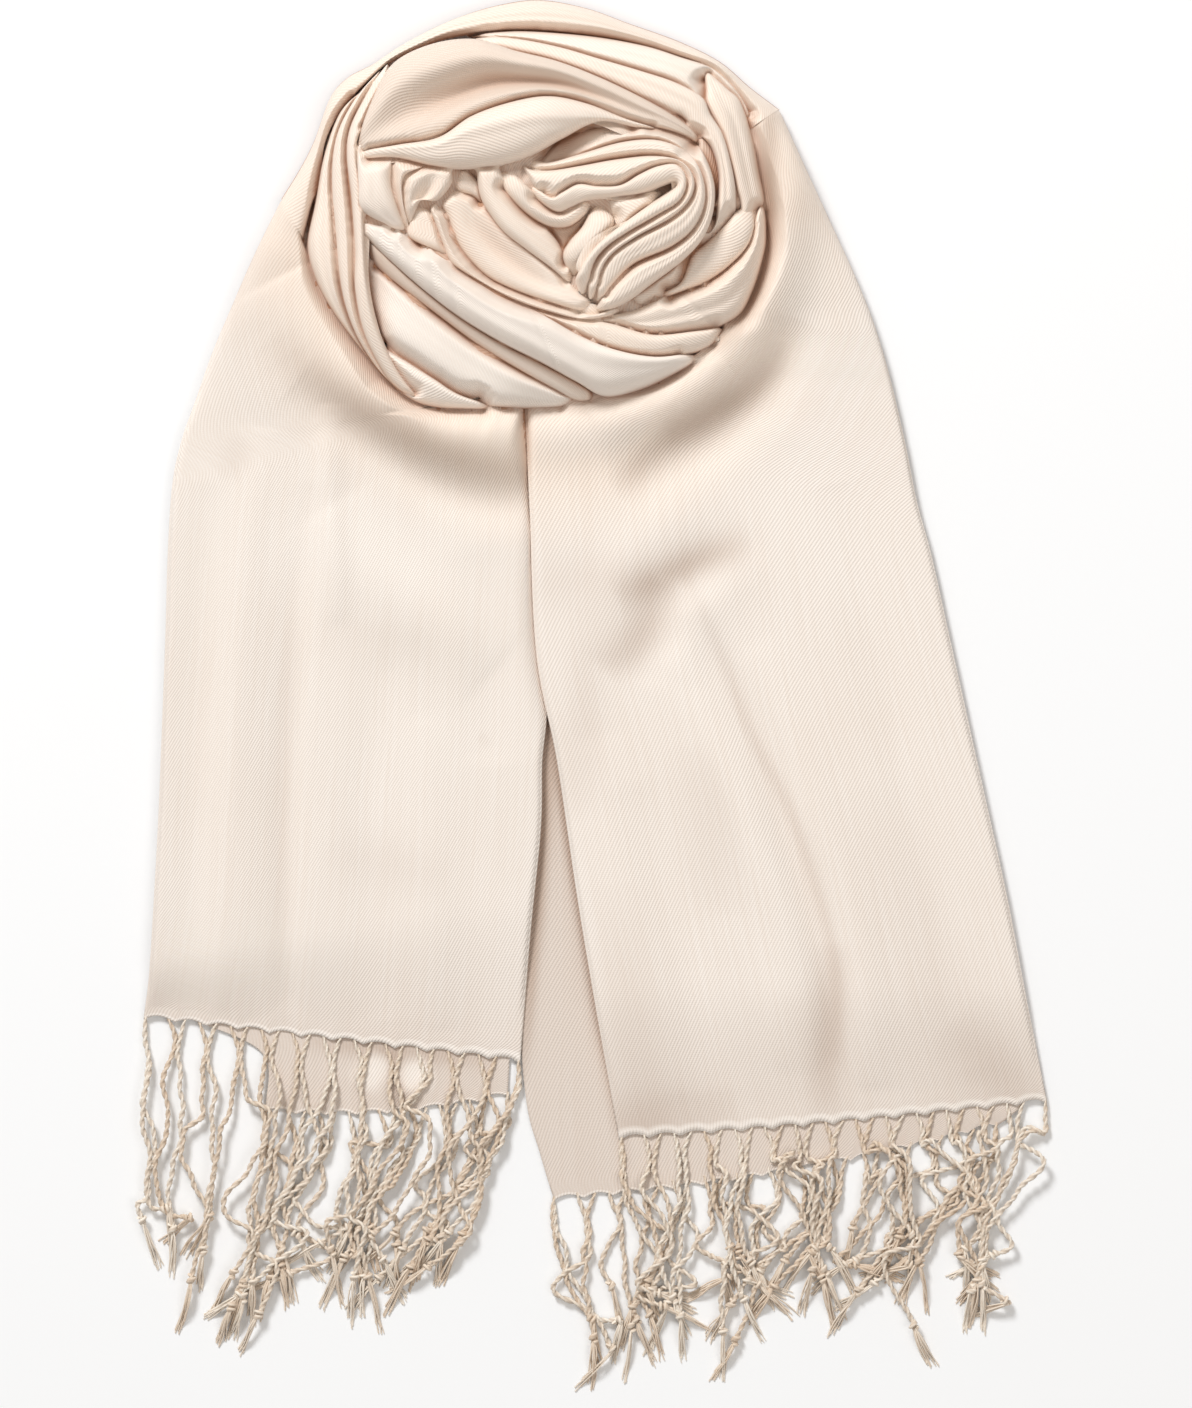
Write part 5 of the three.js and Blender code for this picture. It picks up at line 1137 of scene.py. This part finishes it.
# %% Locks of the fringe
# Hem points are counted from the tail's outer side. A level is y, the x that the lock
# leans to, how far it has drawn together there from 0 to 1, and how far strands stray.
# An end is x, y, one for each strand in turn.
LOCKS = {
    "left_front_fringe": [
        (0, 1, [(-385, -166, 0.1, 1), (-425, -165, 0.5, 2)],
         [(-164, -458), (-161, -452), (-168, -449), (-158, -461)]),
        (2, 3, [(-385, -145, 0.1, 2), (-430, -147, 0.55, 4)],
         [(-153, -482), (-149, -470), (-155, -452), (-143, -478)]),
        (4, 6, [(-390, -118, 0.15, 3), (-440, -124, 0.75, 5)],
         [(-135, -486), (-129, -497), (-142, -495), (-124, -486), (-146, -482),
          (-132, -490)]),
        (7, 9, [(-392, -84, 0.2, 7), (-432, -78, 0.6, 8)],
         [(-84, -484), (-88, -470), (-77, -473), (-70, -481), (-60, -473), (-86, -460)]),
        (10, 12, [(-395, -30, 0.15, 3), (-430, -40, 0.55, 6)],
         [(-56, -466), (-47, -464), (-66, -470), (-43, -464), (-52, -458), (-44, -466)]),
    ],
    "left_back_fringe": [
        (0, 2, [(-412, -100, 0.3, 6), (-436, -108, 0.7, 7)],
         [(-111, -479), (-103, -471), (-122, -480), (-96, -462), (-128, -470),
          (-90, -456)]),
        (3, 5, [(-408, -76, 0.3, 10), (-430, -82, 0.6, 10)],
         [(-86, -459), (-94, -474), (-64, -470), (-79, -480), (-72, -462), (-112, -458),
          (-98, -462), (-82, -468)]),
        (6, 8, [(-404, -36, 0.2, 5), (-430, -52, 0.6, 8)],
         [(-70, -470), (-60, -462), (-78, -458), (-66, -476), (-52, -460), (-84, -476)]),
    ],
    "right_front_fringe": [
        (0, 4, [(-404, 194, 0.3, 2), (-430, 192, 0.85, 2.5), (-455, 188, 0.9, 4)],
         [(180, -488), (187, -483), (193, -475), (176, -462), (183, -478), (196, -468),
          (190, -486), (178, -474), (186, -470), (197, -462)]),
        (5, 6, [(-408, 160, 0.4, 3), (-440, 163, 0.7, 5)],
         [(170, -501), (156, -466), (146, -464), (167, -478)]),
        (7, 9, [(-412, 122, 0.3, 5), (-445, 121, 0.8, 5)],
         [(122, -469), (112, -478), (131, -480), (104, -466), (136, -468), (126, -484)]),
        (10, 11, [(-420, 78, 0.2, 4), (-450, 84, 0.7, 4)],
         [(93, -490), (100, -474), (84, -468), (78, -507)]),
        (12, 14, [(-425, 50, 0.15, 4), (-455, 58, 0.6, 6)],
         [(64, -492), (60, -499), (69, -479), (74, -480), (52, -484), (66, -472)]),
    ],
    "right_back_fringe": [
        (0, 4, [(-420, 150, 0.3, 8), (-446, 140, 0.6, 8)],
         [(146, -464), (152, -472), (128, -478), (134, -470), (118, -462), (140, -458),
          (156, -460), (122, -484), (132, -462), (112, -470)]),
        (5, 9, [(-436, 96, 0.2, 7), (-458, 88, 0.6, 8)],
         [(76, -508), (93, -474), (86, -484), (102, -478), (108, -468), (70, -490),
          (80, -478), (60, -470), (112, -480), (98, -466)]),
        (10, 12, [(-448, 44, 0.2, 7), (-470, 42, 0.6, 5)],
         [(39, -503), (45, -490), (33, -496), (52, -496), (36, -484), (48, -502)]),
        (13, 14, [(-452, 17, 0.5, 4), (-474, 24, 0.8, 4)],
         [(17, -509), (26, -508), (31, -498), (22, -500), (38, -490), (14, -496)]),
    ],
}
print("locks:", sum(len(locks) for locks in LOCKS.values()))

# %% [markdown]
# Each strand becomes a chain of points with its thickness, its twist and its own shade.
# The strand is about 2.3 mm thick, thicker at the knot. The fine threads of a tassel are
# chains too, ten each. Random numbers are seeded, so it is the same on every run.

# %% Chains of points for strands
PLY, TWIST_PITCH, STRAND_STEP, STRAND_LOWEST = 1.32, 8.5, 1.3, 1.25
TASSEL, ASIDE_CHANCE, SHORTEST_RUN = 22, 0.3, 8
# Least and most sway of a strand, then least and most length of a bend.
SWAYS = (0.8, 2.6, 5, 9), (0.3, 1.0, 2.2, 3.4)


class Chains:
    """Chains of points, kept together for one mesh of loose edges."""

    def __init__(self):
        self.points, self.edges, self.thick, self.turn, self.shade = [], [], [], [], []

    def add(self, points, thick, turn, shade):
        start = len(self.points)
        self.points += list(points)
        self.edges += [(start + i, start + i + 1) for i in range(len(points) - 1)]
        self.thick += list(np.broadcast_to(thick, len(points)))
        self.turn += list(np.broadcast_to(turn, len(points)))
        self.shade += list(np.broadcast_to(shade, len(points)))


def smooth_path(points, step):
    path = read_rows(points, np.linspace(0, 1, 60))
    far = lengths_along(path)
    where = np.linspace(0, far[-1], max(6, int(far[-1] / step)))
    return np.column_stack([np.interp(where, far, path[:, k]) for k in range(3)]), where


def flat(point):
    return np.array([point[0], point[1], 0.0])


def unit(run):
    return run / max(1e-6, np.linalg.norm(run))


def fall_of(start, twin, levels, end, low, rng):
    """The points that a strand goes through, from the hem to its knot."""
    fall = [start, start + np.array([-twin * 2.7, -8, -0.2]),
            start + np.array([-twin * 3.0 + rng.uniform(-0.6, 0.6), -15, 0.3])]
    for y, x, drawn, stray in levels:
        fall.append(np.array([start[0] * (1 - drawn) + x * drawn + rng.uniform(-stray, stray),
                              y + rng.uniform(-6, 6), low + rng.uniform(0, 2.4)]))
        if rng.uniform() < ASIDE_CHANCE:
            aside = rng.choice([-1, 1]) * rng.uniform(6, 14)
            fall.append(fall[-1] + np.array([aside, -rng.uniform(7, 13), rng.uniform(0, 2)]))
    run = unit(flat(end) - flat(fall[-1]))
    knot = flat(end) - run * TASSEL * 0.95
    if np.dot(knot - flat(fall[-1]), run) < SHORTEST_RUN:
        fall.pop()
    knot[2] = low * 0.6 + 1.9
    return fall + [knot]


def strand_path(fall, rng):
    """The curve through those points, swaying to both sides, and how far along it is."""
    path, far = smooth_path(fall, STRAND_STEP)
    for least, most, low_turn, high_turn in SWAYS:
        sway = np.sin(far / rng.uniform(low_turn, high_turn) + rng.uniform(0, 6))
        path[:, 0] += rng.uniform(least, most) * sway * np.sin(math.pi * far / far[-1])
    path[:, 2] = np.maximum(path[:, 2], STRAND_LOWEST)
    return path, far


print("a strand turns once in", TWIST_PITCH, "mm")

# %% Chains of points for knots and tassels
KNOT_TURNS, KNOT_LONG, KNOT_WIDE, KNOT_BULGE, KNOT_YARN = 1.35, 3.6, 0.95, 0.4, 1.12
THREADS, THREAD_LOWEST = 10, 0.42


def tie_knot(strands, at, along, shade, rng):
    """More than a turn of yarn round the strand: what shows of an overhand knot."""
    side = np.array([-along[1], along[0], 0.0])
    up = np.array([0, 0, 1.0])
    f = np.linspace(0, 1, 19)
    angle = 2 * math.pi * KNOT_TURNS * f + rng.uniform(0, 6)
    far = (f - 0.5) * KNOT_LONG
    wide = KNOT_WIDE + KNOT_BULGE * np.sin(math.pi * f)
    ring = (at + along * far[:, None] + side * (wide * np.cos(angle))[:, None]
            + up * (wide * np.sin(angle) + 0.4)[:, None])
    strands.add(ring, KNOT_YARN, np.linspace(0, 5, len(f)), shade)


def open_tassel(threads, at, end, shade, rng):
    run = unit(end - at)
    side = np.array([-run[1], run[0], 0.0])
    long = TASSEL * rng.uniform(0.8, 1.12)
    spread = rng.uniform(1.0, 2.3)
    bend = rng.uniform(-2.5, 2.5)
    f = np.linspace(0, 1, 8)
    for _ in range(THREADS):
        lean = spread * rng.uniform(-1, 1)
        reach = long * rng.uniform(0.72, 1.0)
        wave = rng.uniform(-0.7, 0.7) * np.sin(f * rng.uniform(3, 7))
        across = lean * f ** 0.8 + wave + bend * f ** 2 + rng.uniform(-0.5, 0.5)
        high = (1 - f) * 0.8 + rng.uniform(0.3, 2.4) * np.sin(math.pi * np.clip(f + 0.15, 0, 1))
        places = at + run * (f * reach)[:, None] + side * across[:, None]
        places[:, 2] = np.maximum(at[2] * (1 - f) + 0.5 * f + high - 0.8, THREAD_LOWEST)
        threads.add(places, rng.uniform(0.42, 0.62) * (1 - 0.35 * f), rng.uniform(0, 3),
                    shade + 0.1)


def lay_strand(strands, threads, start, twin, levels, end, low, rng):
    shade = rng.uniform(-0.75, 0.6)
    path, far = strand_path(fall_of(start, twin, levels, end, low, rng), rng)
    thick = PLY * (1 + 0.06 * np.sin(far / 4 + shade * 9)) * np.clip(far / 16 + 0.55, 0.55, 1)
    strands.add(path, thick, far / TWIST_PITCH * 2 * math.pi, shade)
    along = unit(flat(path[-1] - path[-4]))
    tie_knot(strands, path[-1] - along * 1.5, along, shade, rng)
    open_tassel(threads, path[-1], np.array([end[0], end[1], 0.5]), shade, rng)


print("a tassel has", THREADS, "threads")

# %% Lay every lock
# The tail that a fringe hangs from, the turned rows of its sides, and how high it lies.
HEMS = {"left_front_fringe": ("left", TURNED, 3.2), "left_back_fringe": ("left_back", 0, 0.9),
        "right_front_fringe": ("right", TURNED, 3.2),
        "right_back_fringe": ("right_back", 0, 0.9)}
FIRST_SEED, TWINS_APART, END_STRAY = 40, 3.9, 2


def hem_places(grid, turned):
    """The points of the scalloped hem, from the tail's outer side to its inner one."""
    rim = grid[-1, turned:-turned] if turned else grid[-1]
    far = (rim[:, :2] - rim[0, :2]) @ unit(rim[-1, :2] - rim[0, :2])
    where = np.linspace(0, far[-1], max(1, round(far[-1] / SCALLOP)) + 1)
    return np.column_stack([np.interp(where, far, rim[:, k]) for k in range(3)])


chains = {}
for number, (name, locks) in enumerate(LOCKS.items()):
    panel, turned, low = HEMS[name]
    hem = hem_places(tail_grids[panel], turned)
    rng = np.random.default_rng(FIRST_SEED + number)
    strands, threads = Chains(), Chains()
    for first, last, via, ends in locks:
        twins = [(point, twin) for point in range(first, last + 1) for twin in (-1, 1)]
        for count, (point, twin) in enumerate(twins):
            side = 0 if point in (0, len(hem) - 1) else TWINS_APART * twin
            at = hem[min(point, len(hem) - 1)] + np.array([side, 1.8, -0.5])
            stray = rng.uniform(-END_STRAY, END_STRAY, 2)
            end = np.array(ends[count % len(ends)], float) + stray
            lay_strand(strands, threads, at, side / TWINS_APART, via, end, low, rng)
    chains[name] = strands, threads
    print(name, "hem points", len(hem), "chains", len(strands.points), len(threads.points))

# %% [markdown]
# ## Nodes
# Yarn and finishes are both graphs of nodes. What goes into an input of a node is either
# a value or the output of an earlier node, so a graph is written in the order it is read.

# %% A graph of nodes
class Graph:
    def __init__(self, tree):
        self.tree = tree

    def feed(self, node, inputs):
        for key, value in inputs.items():
            if isinstance(value, bpy.types.NodeSocket):
                self.tree.links.new(value, node.inputs[key])
            else:
                node.inputs[key].default_value = value
        return node

    def add(self, kind, inputs=None, **settings):
        node = self.tree.nodes.new(kind)
        for key, value in settings.items():
            setattr(node, key, value)
        return self.feed(node, inputs or {})

    def math(self, operation, *values):
        return self.add("ShaderNodeMath", dict(enumerate(values)),
                        operation=operation).outputs[0]

    def mix(self, factor, a, b):
        """Colour a where the factor is 0, and colour b where it is 1."""
        inputs = {0: factor, 6: a, 7: b}
        return self.add("ShaderNodeMix", inputs, data_type="RGBA").outputs[2]

    def attribute(self, name):
        return self.add("ShaderNodeAttribute", attribute_name=name).outputs["Fac"]

    def noise(self, place, scale, detail):
        inputs = {"Vector": place, "Scale": scale, "Detail": detail}
        return self.add("ShaderNodeTexNoise", inputs).outputs["Fac"]

    def bump(self, height, strength, deep):
        inputs = {"Height": height, "Strength": strength, "Distance": deep}
        return self.add("ShaderNodeBump", inputs).outputs["Normal"]


print("ways to add a node:", [n for n in vars(Graph) if not n.startswith("_")])

# %% [markdown]
# Geometry Nodes turn the chains into yarn. A chain becomes a curve, takes its thickness
# and twist from its points, and a small profile with two lobes is swept along it: that
# is two plies of yarn twisted round each other. The result is made a plain mesh at the
# end, because an export keeps meshes but not instances or live curves.

# %% A node tree that makes yarn from chains
LOBE_WIDER = 0.35


def yarn_tree():
    tree = bpy.data.node_groups.new("Twisted yarn", "GeometryNodeTree")
    made = [tree.interface.new_socket(name, in_out=way, socket_type="NodeSocket" + kind)
            for name, way, kind in (
                ("Geometry", "INPUT", "Geometry"), ("Profile sides", "INPUT", "Int"),
                ("Waist between the plies", "INPUT", "Float"),
                ("Finish", "INPUT", "Material"), ("Geometry", "OUTPUT", "Geometry"))]
    graph = Graph(tree)
    start = graph.add("NodeGroupInput").outputs

    def read(attribute):
        node = graph.add("GeometryNodeInputNamedAttribute", data_type="FLOAT")
        return graph.feed(node, {"Name": attribute}).outputs["Attribute"]

    curve = graph.add("GeometryNodeMeshToCurve", {"Mesh": start["Geometry"]})
    spine = graph.add("GeometryNodeSetCurveTilt", {
        "Curve": curve.outputs["Curve"], "Tilt": read("turn")})

    circle = graph.add("GeometryNodeCurvePrimitiveCircle", {
        "Resolution": start["Profile sides"], "Radius": 1.0})
    place = graph.add("GeometryNodeInputPosition").outputs[0]
    x, y, _ = graph.add("ShaderNodeSeparateXYZ", {0: place}).outputs
    lobe = graph.math("MULTIPLY", x, x)
    waist = graph.math("MULTIPLY_ADD", lobe, LOBE_WIDER, start["Waist between the plies"])
    pinched = graph.add("ShaderNodeCombineXYZ", {"X": x, "Y": graph.math("MULTIPLY", y, waist)})
    # lobe is kept on the yarn: it is low in the pinch between the plies, where the finish paints
    # shade.
    marked = graph.add("GeometryNodeStoreNamedAttribute", data_type="FLOAT", domain="POINT")
    graph.feed(marked, {"Geometry": circle.outputs["Curve"], "Name": "lobe", "Value": lobe})
    profile = graph.add("GeometryNodeSetPosition", {
        "Geometry": marked.outputs["Geometry"], "Position": pinched.outputs[0]})

    yarn = graph.add("GeometryNodeCurveToMesh", {
        "Curve": spine.outputs["Curve"], "Profile Curve": profile.outputs["Geometry"],
        "Scale": read("thick"), "Fill Caps": True}).outputs["Mesh"]
    for kind, more in (("SetShadeSmooth", {}), ("RealizeInstances", {}),
                       ("SetMaterial", {"Material": start["Finish"]})):
        node = graph.add("GeometryNode" + kind, {"Geometry": yarn, **more})
        yarn = node.outputs["Geometry"]
    graph.add("NodeGroupOutput", {"Geometry": yarn})
    return tree, [socket.identifier for socket in made[1:4]]


YARN_TREE, (SIDES, WAIST, FINISH) = yarn_tree()
print("yarn tree:", len(YARN_TREE.nodes), "nodes")

# %% [markdown]
# ## Finishes
# The cloth is a fine twill: slanting ribs about 1.2 mm apart, each made of short steps.
# The ribs follow the UV map in millimetres, so they turn with the cloth. Streaks along
# the length are where one thread is a little thicker than the next, and a slow noise
# makes the dye slightly uneven. The sheen is that of viscose with fine wool.

# %% Helpers for materials
def new_material(name):
    material = bpy.data.materials.new(name)
    material.use_nodes = True
    material.node_tree.nodes.clear()
    graph = Graph(material.node_tree)
    shader = graph.add("ShaderNodeBsdfPrincipled")
    graph.add("ShaderNodeOutputMaterial", {"Surface": shader.outputs["BSDF"]})
    return material, graph, shader


def linear(r, g, b):
    """The colour that a screen shows as these three numbers from 0 to 255."""
    def one(c):
        c = c / 255
        return c / 12.92 if c <= 0.04045 else ((c + 0.055) / 1.055) ** 2.4
    return (one(r), one(g), one(b), 1)


print("cream is", [round(c, 3) for c in linear(240, 226, 210)[:3]], "in linear light")

# %% [markdown]
# The cloth of the coil is a little warmer than that of the tails: partly its own colour,
# and partly painted warm light that bounces between its folds. The tails turn warm on
# their way up to it, so that there is no step of colour where they meet the coil.

# %% Twill cloth
RIB, RIB_ANGLE, STEP, STEP_SHOW = 1.2, math.radians(57), 0.8, 0.18
STREAK_SIZE = (0.55, 0.012, 1)
SHADE_EVEN, SLOW_SHOW, STREAK_SHOW, SHADE_LESS = 0.42, 0.5, 0.6, 0.55
CREAM, WARM, FOLD_SHADE = linear(248, 241, 234), linear(236, 223, 211), linear(186, 138, 106)
SHADED, PAINTED_LIGHT = linear(176, 150, 130), linear(255, 250, 244)
WOUND_LIGHT, WOUND_DARK = linear(251, 240, 228), linear(239, 218, 201)
WARM_REACH, COOL_REACH = 0.112, 0.15


def near_coil(graph, place):
    """1 within reach of the coil's middle, and 0 farther down the tails."""
    far = graph.add("ShaderNodeVectorMath", {0: place, 1: tuple(COIL_MIDDLE * MM)},
                    operation="DISTANCE")
    fade = graph.add("ShaderNodeMapRange", {
        "Value": far.outputs["Value"], "From Min": WARM_REACH, "From Max": COOL_REACH,
        "To Min": 1, "To Max": 0})
    return fade.outputs["Result"]


def weave(graph, uv):
    """Height of the ribs alone, and with the short steps along them."""
    across, along, _ = graph.add("ShaderNodeSeparateXYZ", {0: uv}).outputs
    turn = 2 * math.pi / RIB
    rise = graph.math("MULTIPLY", across, turn * math.sin(RIB_ANGLE))
    rib = graph.math("SINE", graph.math(
        "MULTIPLY_ADD", along, turn * math.cos(RIB_ANGLE), rise))
    step = graph.math("SINE", graph.math("MULTIPLY", along, 2 * math.pi / STEP))
    return rib, graph.math("MULTIPLY_ADD", step, STEP_SHOW, rib)


def twill(name, light, dark, rib_show, warm_end=False):
    material, graph, shader = new_material(name)
    uv = graph.add("ShaderNodeUVMap", uv_map="UVMap").outputs["UV"]
    place = graph.add("ShaderNodeTexCoord").outputs["Object"]
    rib, ribs_and_steps = weave(graph, uv)
    slow = graph.noise(place, 14, 3)
    stretched = graph.add("ShaderNodeMapping", {"Vector": uv, "Scale": STREAK_SIZE})
    streak = graph.noise(stretched.outputs["Vector"], 1, 2)

    shade = graph.math("MULTIPLY_ADD", rib, rib_show, SHADE_EVEN)
    shade = graph.math("MULTIPLY_ADD", slow, SLOW_SHOW, shade)
    shade = graph.math("MULTIPLY_ADD", streak, STREAK_SHOW, shade)
    shade = graph.math("SUBTRACT", shade, SHADE_LESS)
    colour = graph.mix(shade, light, dark)
    # Near the coil the tails take its warmer colours: partly the cloth's own colour, partly
    # painted warm bounce light.
    if warm_end:
        wound = graph.mix(shade, WOUND_LIGHT, WOUND_DARK)
        colour = graph.mix(near_coil(graph, place), colour, wound)
    # Painted shade towards the shaded colour above 0, and painted light towards the paler colour
    # below 0.
    tone = graph.attribute("tone")
    colour = graph.mix(tone, colour, SHADED)
    colour = graph.mix(graph.math("MULTIPLY", tone, -1), colour, PAINTED_LIGHT)
    # Painted shade: the cloth turns brown where fold marks a crease or a valley.
    colour = graph.mix(graph.attribute("fold"), colour, FOLD_SHADE)
    graph.feed(shader, {
        "Base Color": colour, "Normal": graph.bump(ribs_and_steps, 0.4, 0.0002),
        "Roughness": graph.math("MULTIPLY_ADD", slow, 0.15, 0.55),
        "Sheen Weight": 0.15, "Sheen Roughness": 0.4, "Specular IOR Level": 0.22})
    return material


CLOTH = twill("ivory twill", CREAM, WARM, 0.2, warm_end=True)
WOUND = twill("ivory twill wound warm", WOUND_LIGHT, WOUND_DARK, 0.22)
# The inner layers get a darker copy of the cloth, from warm to brown: painted shade, for cloth
# that lies deep in the folds.
SHADED_INNER = twill("ivory twill in painted shade deep in the folds", WARM, FOLD_SHADE, 0.1)
for name, piece in pieces.items():
    finish = SHADED_INNER if "inner_layers" in name else CLOTH if "tail" in name else WOUND
    piece.data.materials.append(finish)
print("materials:", [m.name for m in (CLOTH, WOUND, SHADED_INNER)])

# %% Twisted yarn
# Brown of the painted shade in the grooves between the plies.
PLY_GROOVE_SHADE = linear(166, 136, 108)


def yarn(name, light, dark):
    material, graph, shader = new_material(name)
    fibre = graph.noise(graph.add("ShaderNodeTexCoord").outputs["Object"], 900, 4)
    mixed = graph.math("MULTIPLY_ADD", graph.attribute("shade"), 0.5, 0.5)
    mixed = graph.math("MULTIPLY_ADD", fibre, 0.7, mixed)
    mixed = graph.math("SUBTRACT", mixed, 0.35)
    # Painted shade in the pinch between the two plies, where lobe is low.
    ply_groove_shade = graph.math("MULTIPLY_ADD", graph.attribute("lobe"), -0.8, 0.5)
    graph.feed(shader, {
        "Base Color": graph.mix(ply_groove_shade, graph.mix(mixed, dark, light), PLY_GROOVE_SHADE),
        "Normal": graph.bump(fibre, 0.5, 0.0003),
        "Roughness": 0.6, "Sheen Weight": 0.3, "Specular IOR Level": 0.3})
    return material


YARN = yarn("beige twisted yarn", linear(255, 248, 236), linear(228, 206, 182))
print("yarn:", YARN.name)

# %% Make the fringe
STRAND_PROFILE, THREAD_PROFILE = (8, 0.58), (4, 0.8)


def chain_mesh(name, chains):
    mesh = bpy.data.meshes.new(name)
    mesh.from_pydata(to_metres(chains.points).tolist(), chains.edges, [])
    store(mesh, {"thick": np.array(chains.thick) * MM, "turn": chains.turn,
                 "shade": chains.shade})
    return put_in_scene(name, mesh)


def spin_yarn(name, chains, sides, waist):
    """The chains as a plain mesh of yarn."""
    obj = chain_mesh(name, chains)
    spin = obj.modifiers.new("yarn", "NODES")
    spin.node_group = YARN_TREE
    spin[SIDES], spin[WAIST], spin[FINISH] = sides, waist, YARN
    graph = bpy.context.evaluated_depsgraph_get()
    made = bpy.data.meshes.new_from_object(obj.evaluated_get(graph), depsgraph=graph)
    bpy.data.objects.remove(obj)
    return made


for name, (strands, threads) in chains.items():
    both = bmesh.new()
    for part, profile in ((strands, STRAND_PROFILE), (threads, THREAD_PROFILE)):
        mesh = spin_yarn(name + "_part", part, *profile)
        both.from_mesh(mesh)
        bpy.data.meshes.remove(mesh)
    mesh = bpy.data.meshes.new(name + "_yarn")
    both.to_mesh(mesh)
    both.free()
    mesh.materials.append(YARN)
    pieces[name] = put_in_scene(name + "_yarn", mesh)
    print(name, len(mesh.polygons), "faces")

# %% [markdown]
# ## Attaching the pieces
# Every piece is attached to the root, and the part of the packed model with its name is
# hidden. The flat size of each sheet, and the sheet that it rests on, are worked out
# from the sheets themselves, but nothing uses them.

# %% Attach every piece and hide its packed part
for name, piece in pieces.items():
    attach(piece, "root")
    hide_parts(name)
for name, grid in sheets.items():
    width, length, area = sheet_size(grid)
    side = name.split("_")[0]
    rests = [] if name == "coil_inner_layers" else [pieces["coil_inner_layers"]]
    if "tail" in name:
        rests = [pieces[side + "_tail_back"]]
    if name.endswith(("_tail_back", "_tail_front")):
        layer = name.split("_")[2]
        rests = [] if layer == "back" else rests

# %% [markdown]
# ## Floor, light and camera
# The wrap lies on a plain near-white floor. One large soft light comes from the upper
# left and a weaker one from the right. The camera looks straight down from far away
# through a long lens, as for a catalogue.

# %% Floor
FLOOR_HALF = 6
corners = [(x * FLOOR_HALF, y * FLOOR_HALF, 0) for x, y in ((-1, -1), (1, -1), (1, 1), (-1, 1))]
floor_mesh = bpy.data.meshes.new("floor")
floor_mesh.from_pydata(corners, [], [(0, 1, 2, 3)])
floor = put_in_scene("floor", floor_mesh)
material, graph, shader = new_material("white studio floor")
graph.feed(shader, {"Base Color": linear(250, 252, 254), "Roughness": 0.8})
floor_mesh.materials.append(material)
print("floor", 2 * FLOOR_HALF, "x", 2 * FLOOR_HALF, "m")

# %% Lights
VIEW_MIDDLE = to_metres([[24, -214.5, 0]])[0]


def area_light(name, place, size, watts, colour=(1, 1, 1)):
    data = bpy.data.lights.new(name, "AREA")
    data.shape, data.size, data.energy, data.color = "DISK", size, watts, colour
    light = put_in_scene(name, data)
    light.location = place
    aim = Vector(VIEW_MIDDLE) - Vector(place)
    light.rotation_euler = aim.to_track_quat("-Z", "Y").to_euler()


area_light("soft key", (-1.4, 2.7, 2.7), 1.1, 118)
area_light("fill", (1.2, -0.8, 2.2), 1.4, 9, (1, 0.95, 0.9))
world = bpy.data.worlds.new("studio")
world.use_nodes = True
background = world.node_tree.nodes["Background"]
Graph(world.node_tree).feed(background, {"Color": (1, 0.96, 0.92, 1), "Strength": 0.46})
bpy.context.scene.world = world
bpy.context.scene.view_settings.view_transform = "Standard"

# %% Camera
CAMERA_HIGH, FIELD_HIGH, SENSOR = 4.2, 0.6054, 36
camera_data = bpy.data.cameras.new("camera")
camera_data.sensor_width, camera_data.lens = SENSOR, SENSOR * CAMERA_HIGH / FIELD_HIGH
camera_data.clip_end = 30
camera = put_in_scene("camera", camera_data)
camera.location = (VIEW_MIDDLE[0], VIEW_MIDDLE[1], CAMERA_HIGH)
bpy.context.scene.camera = camera
print("lens", round(camera_data.lens), "mm")
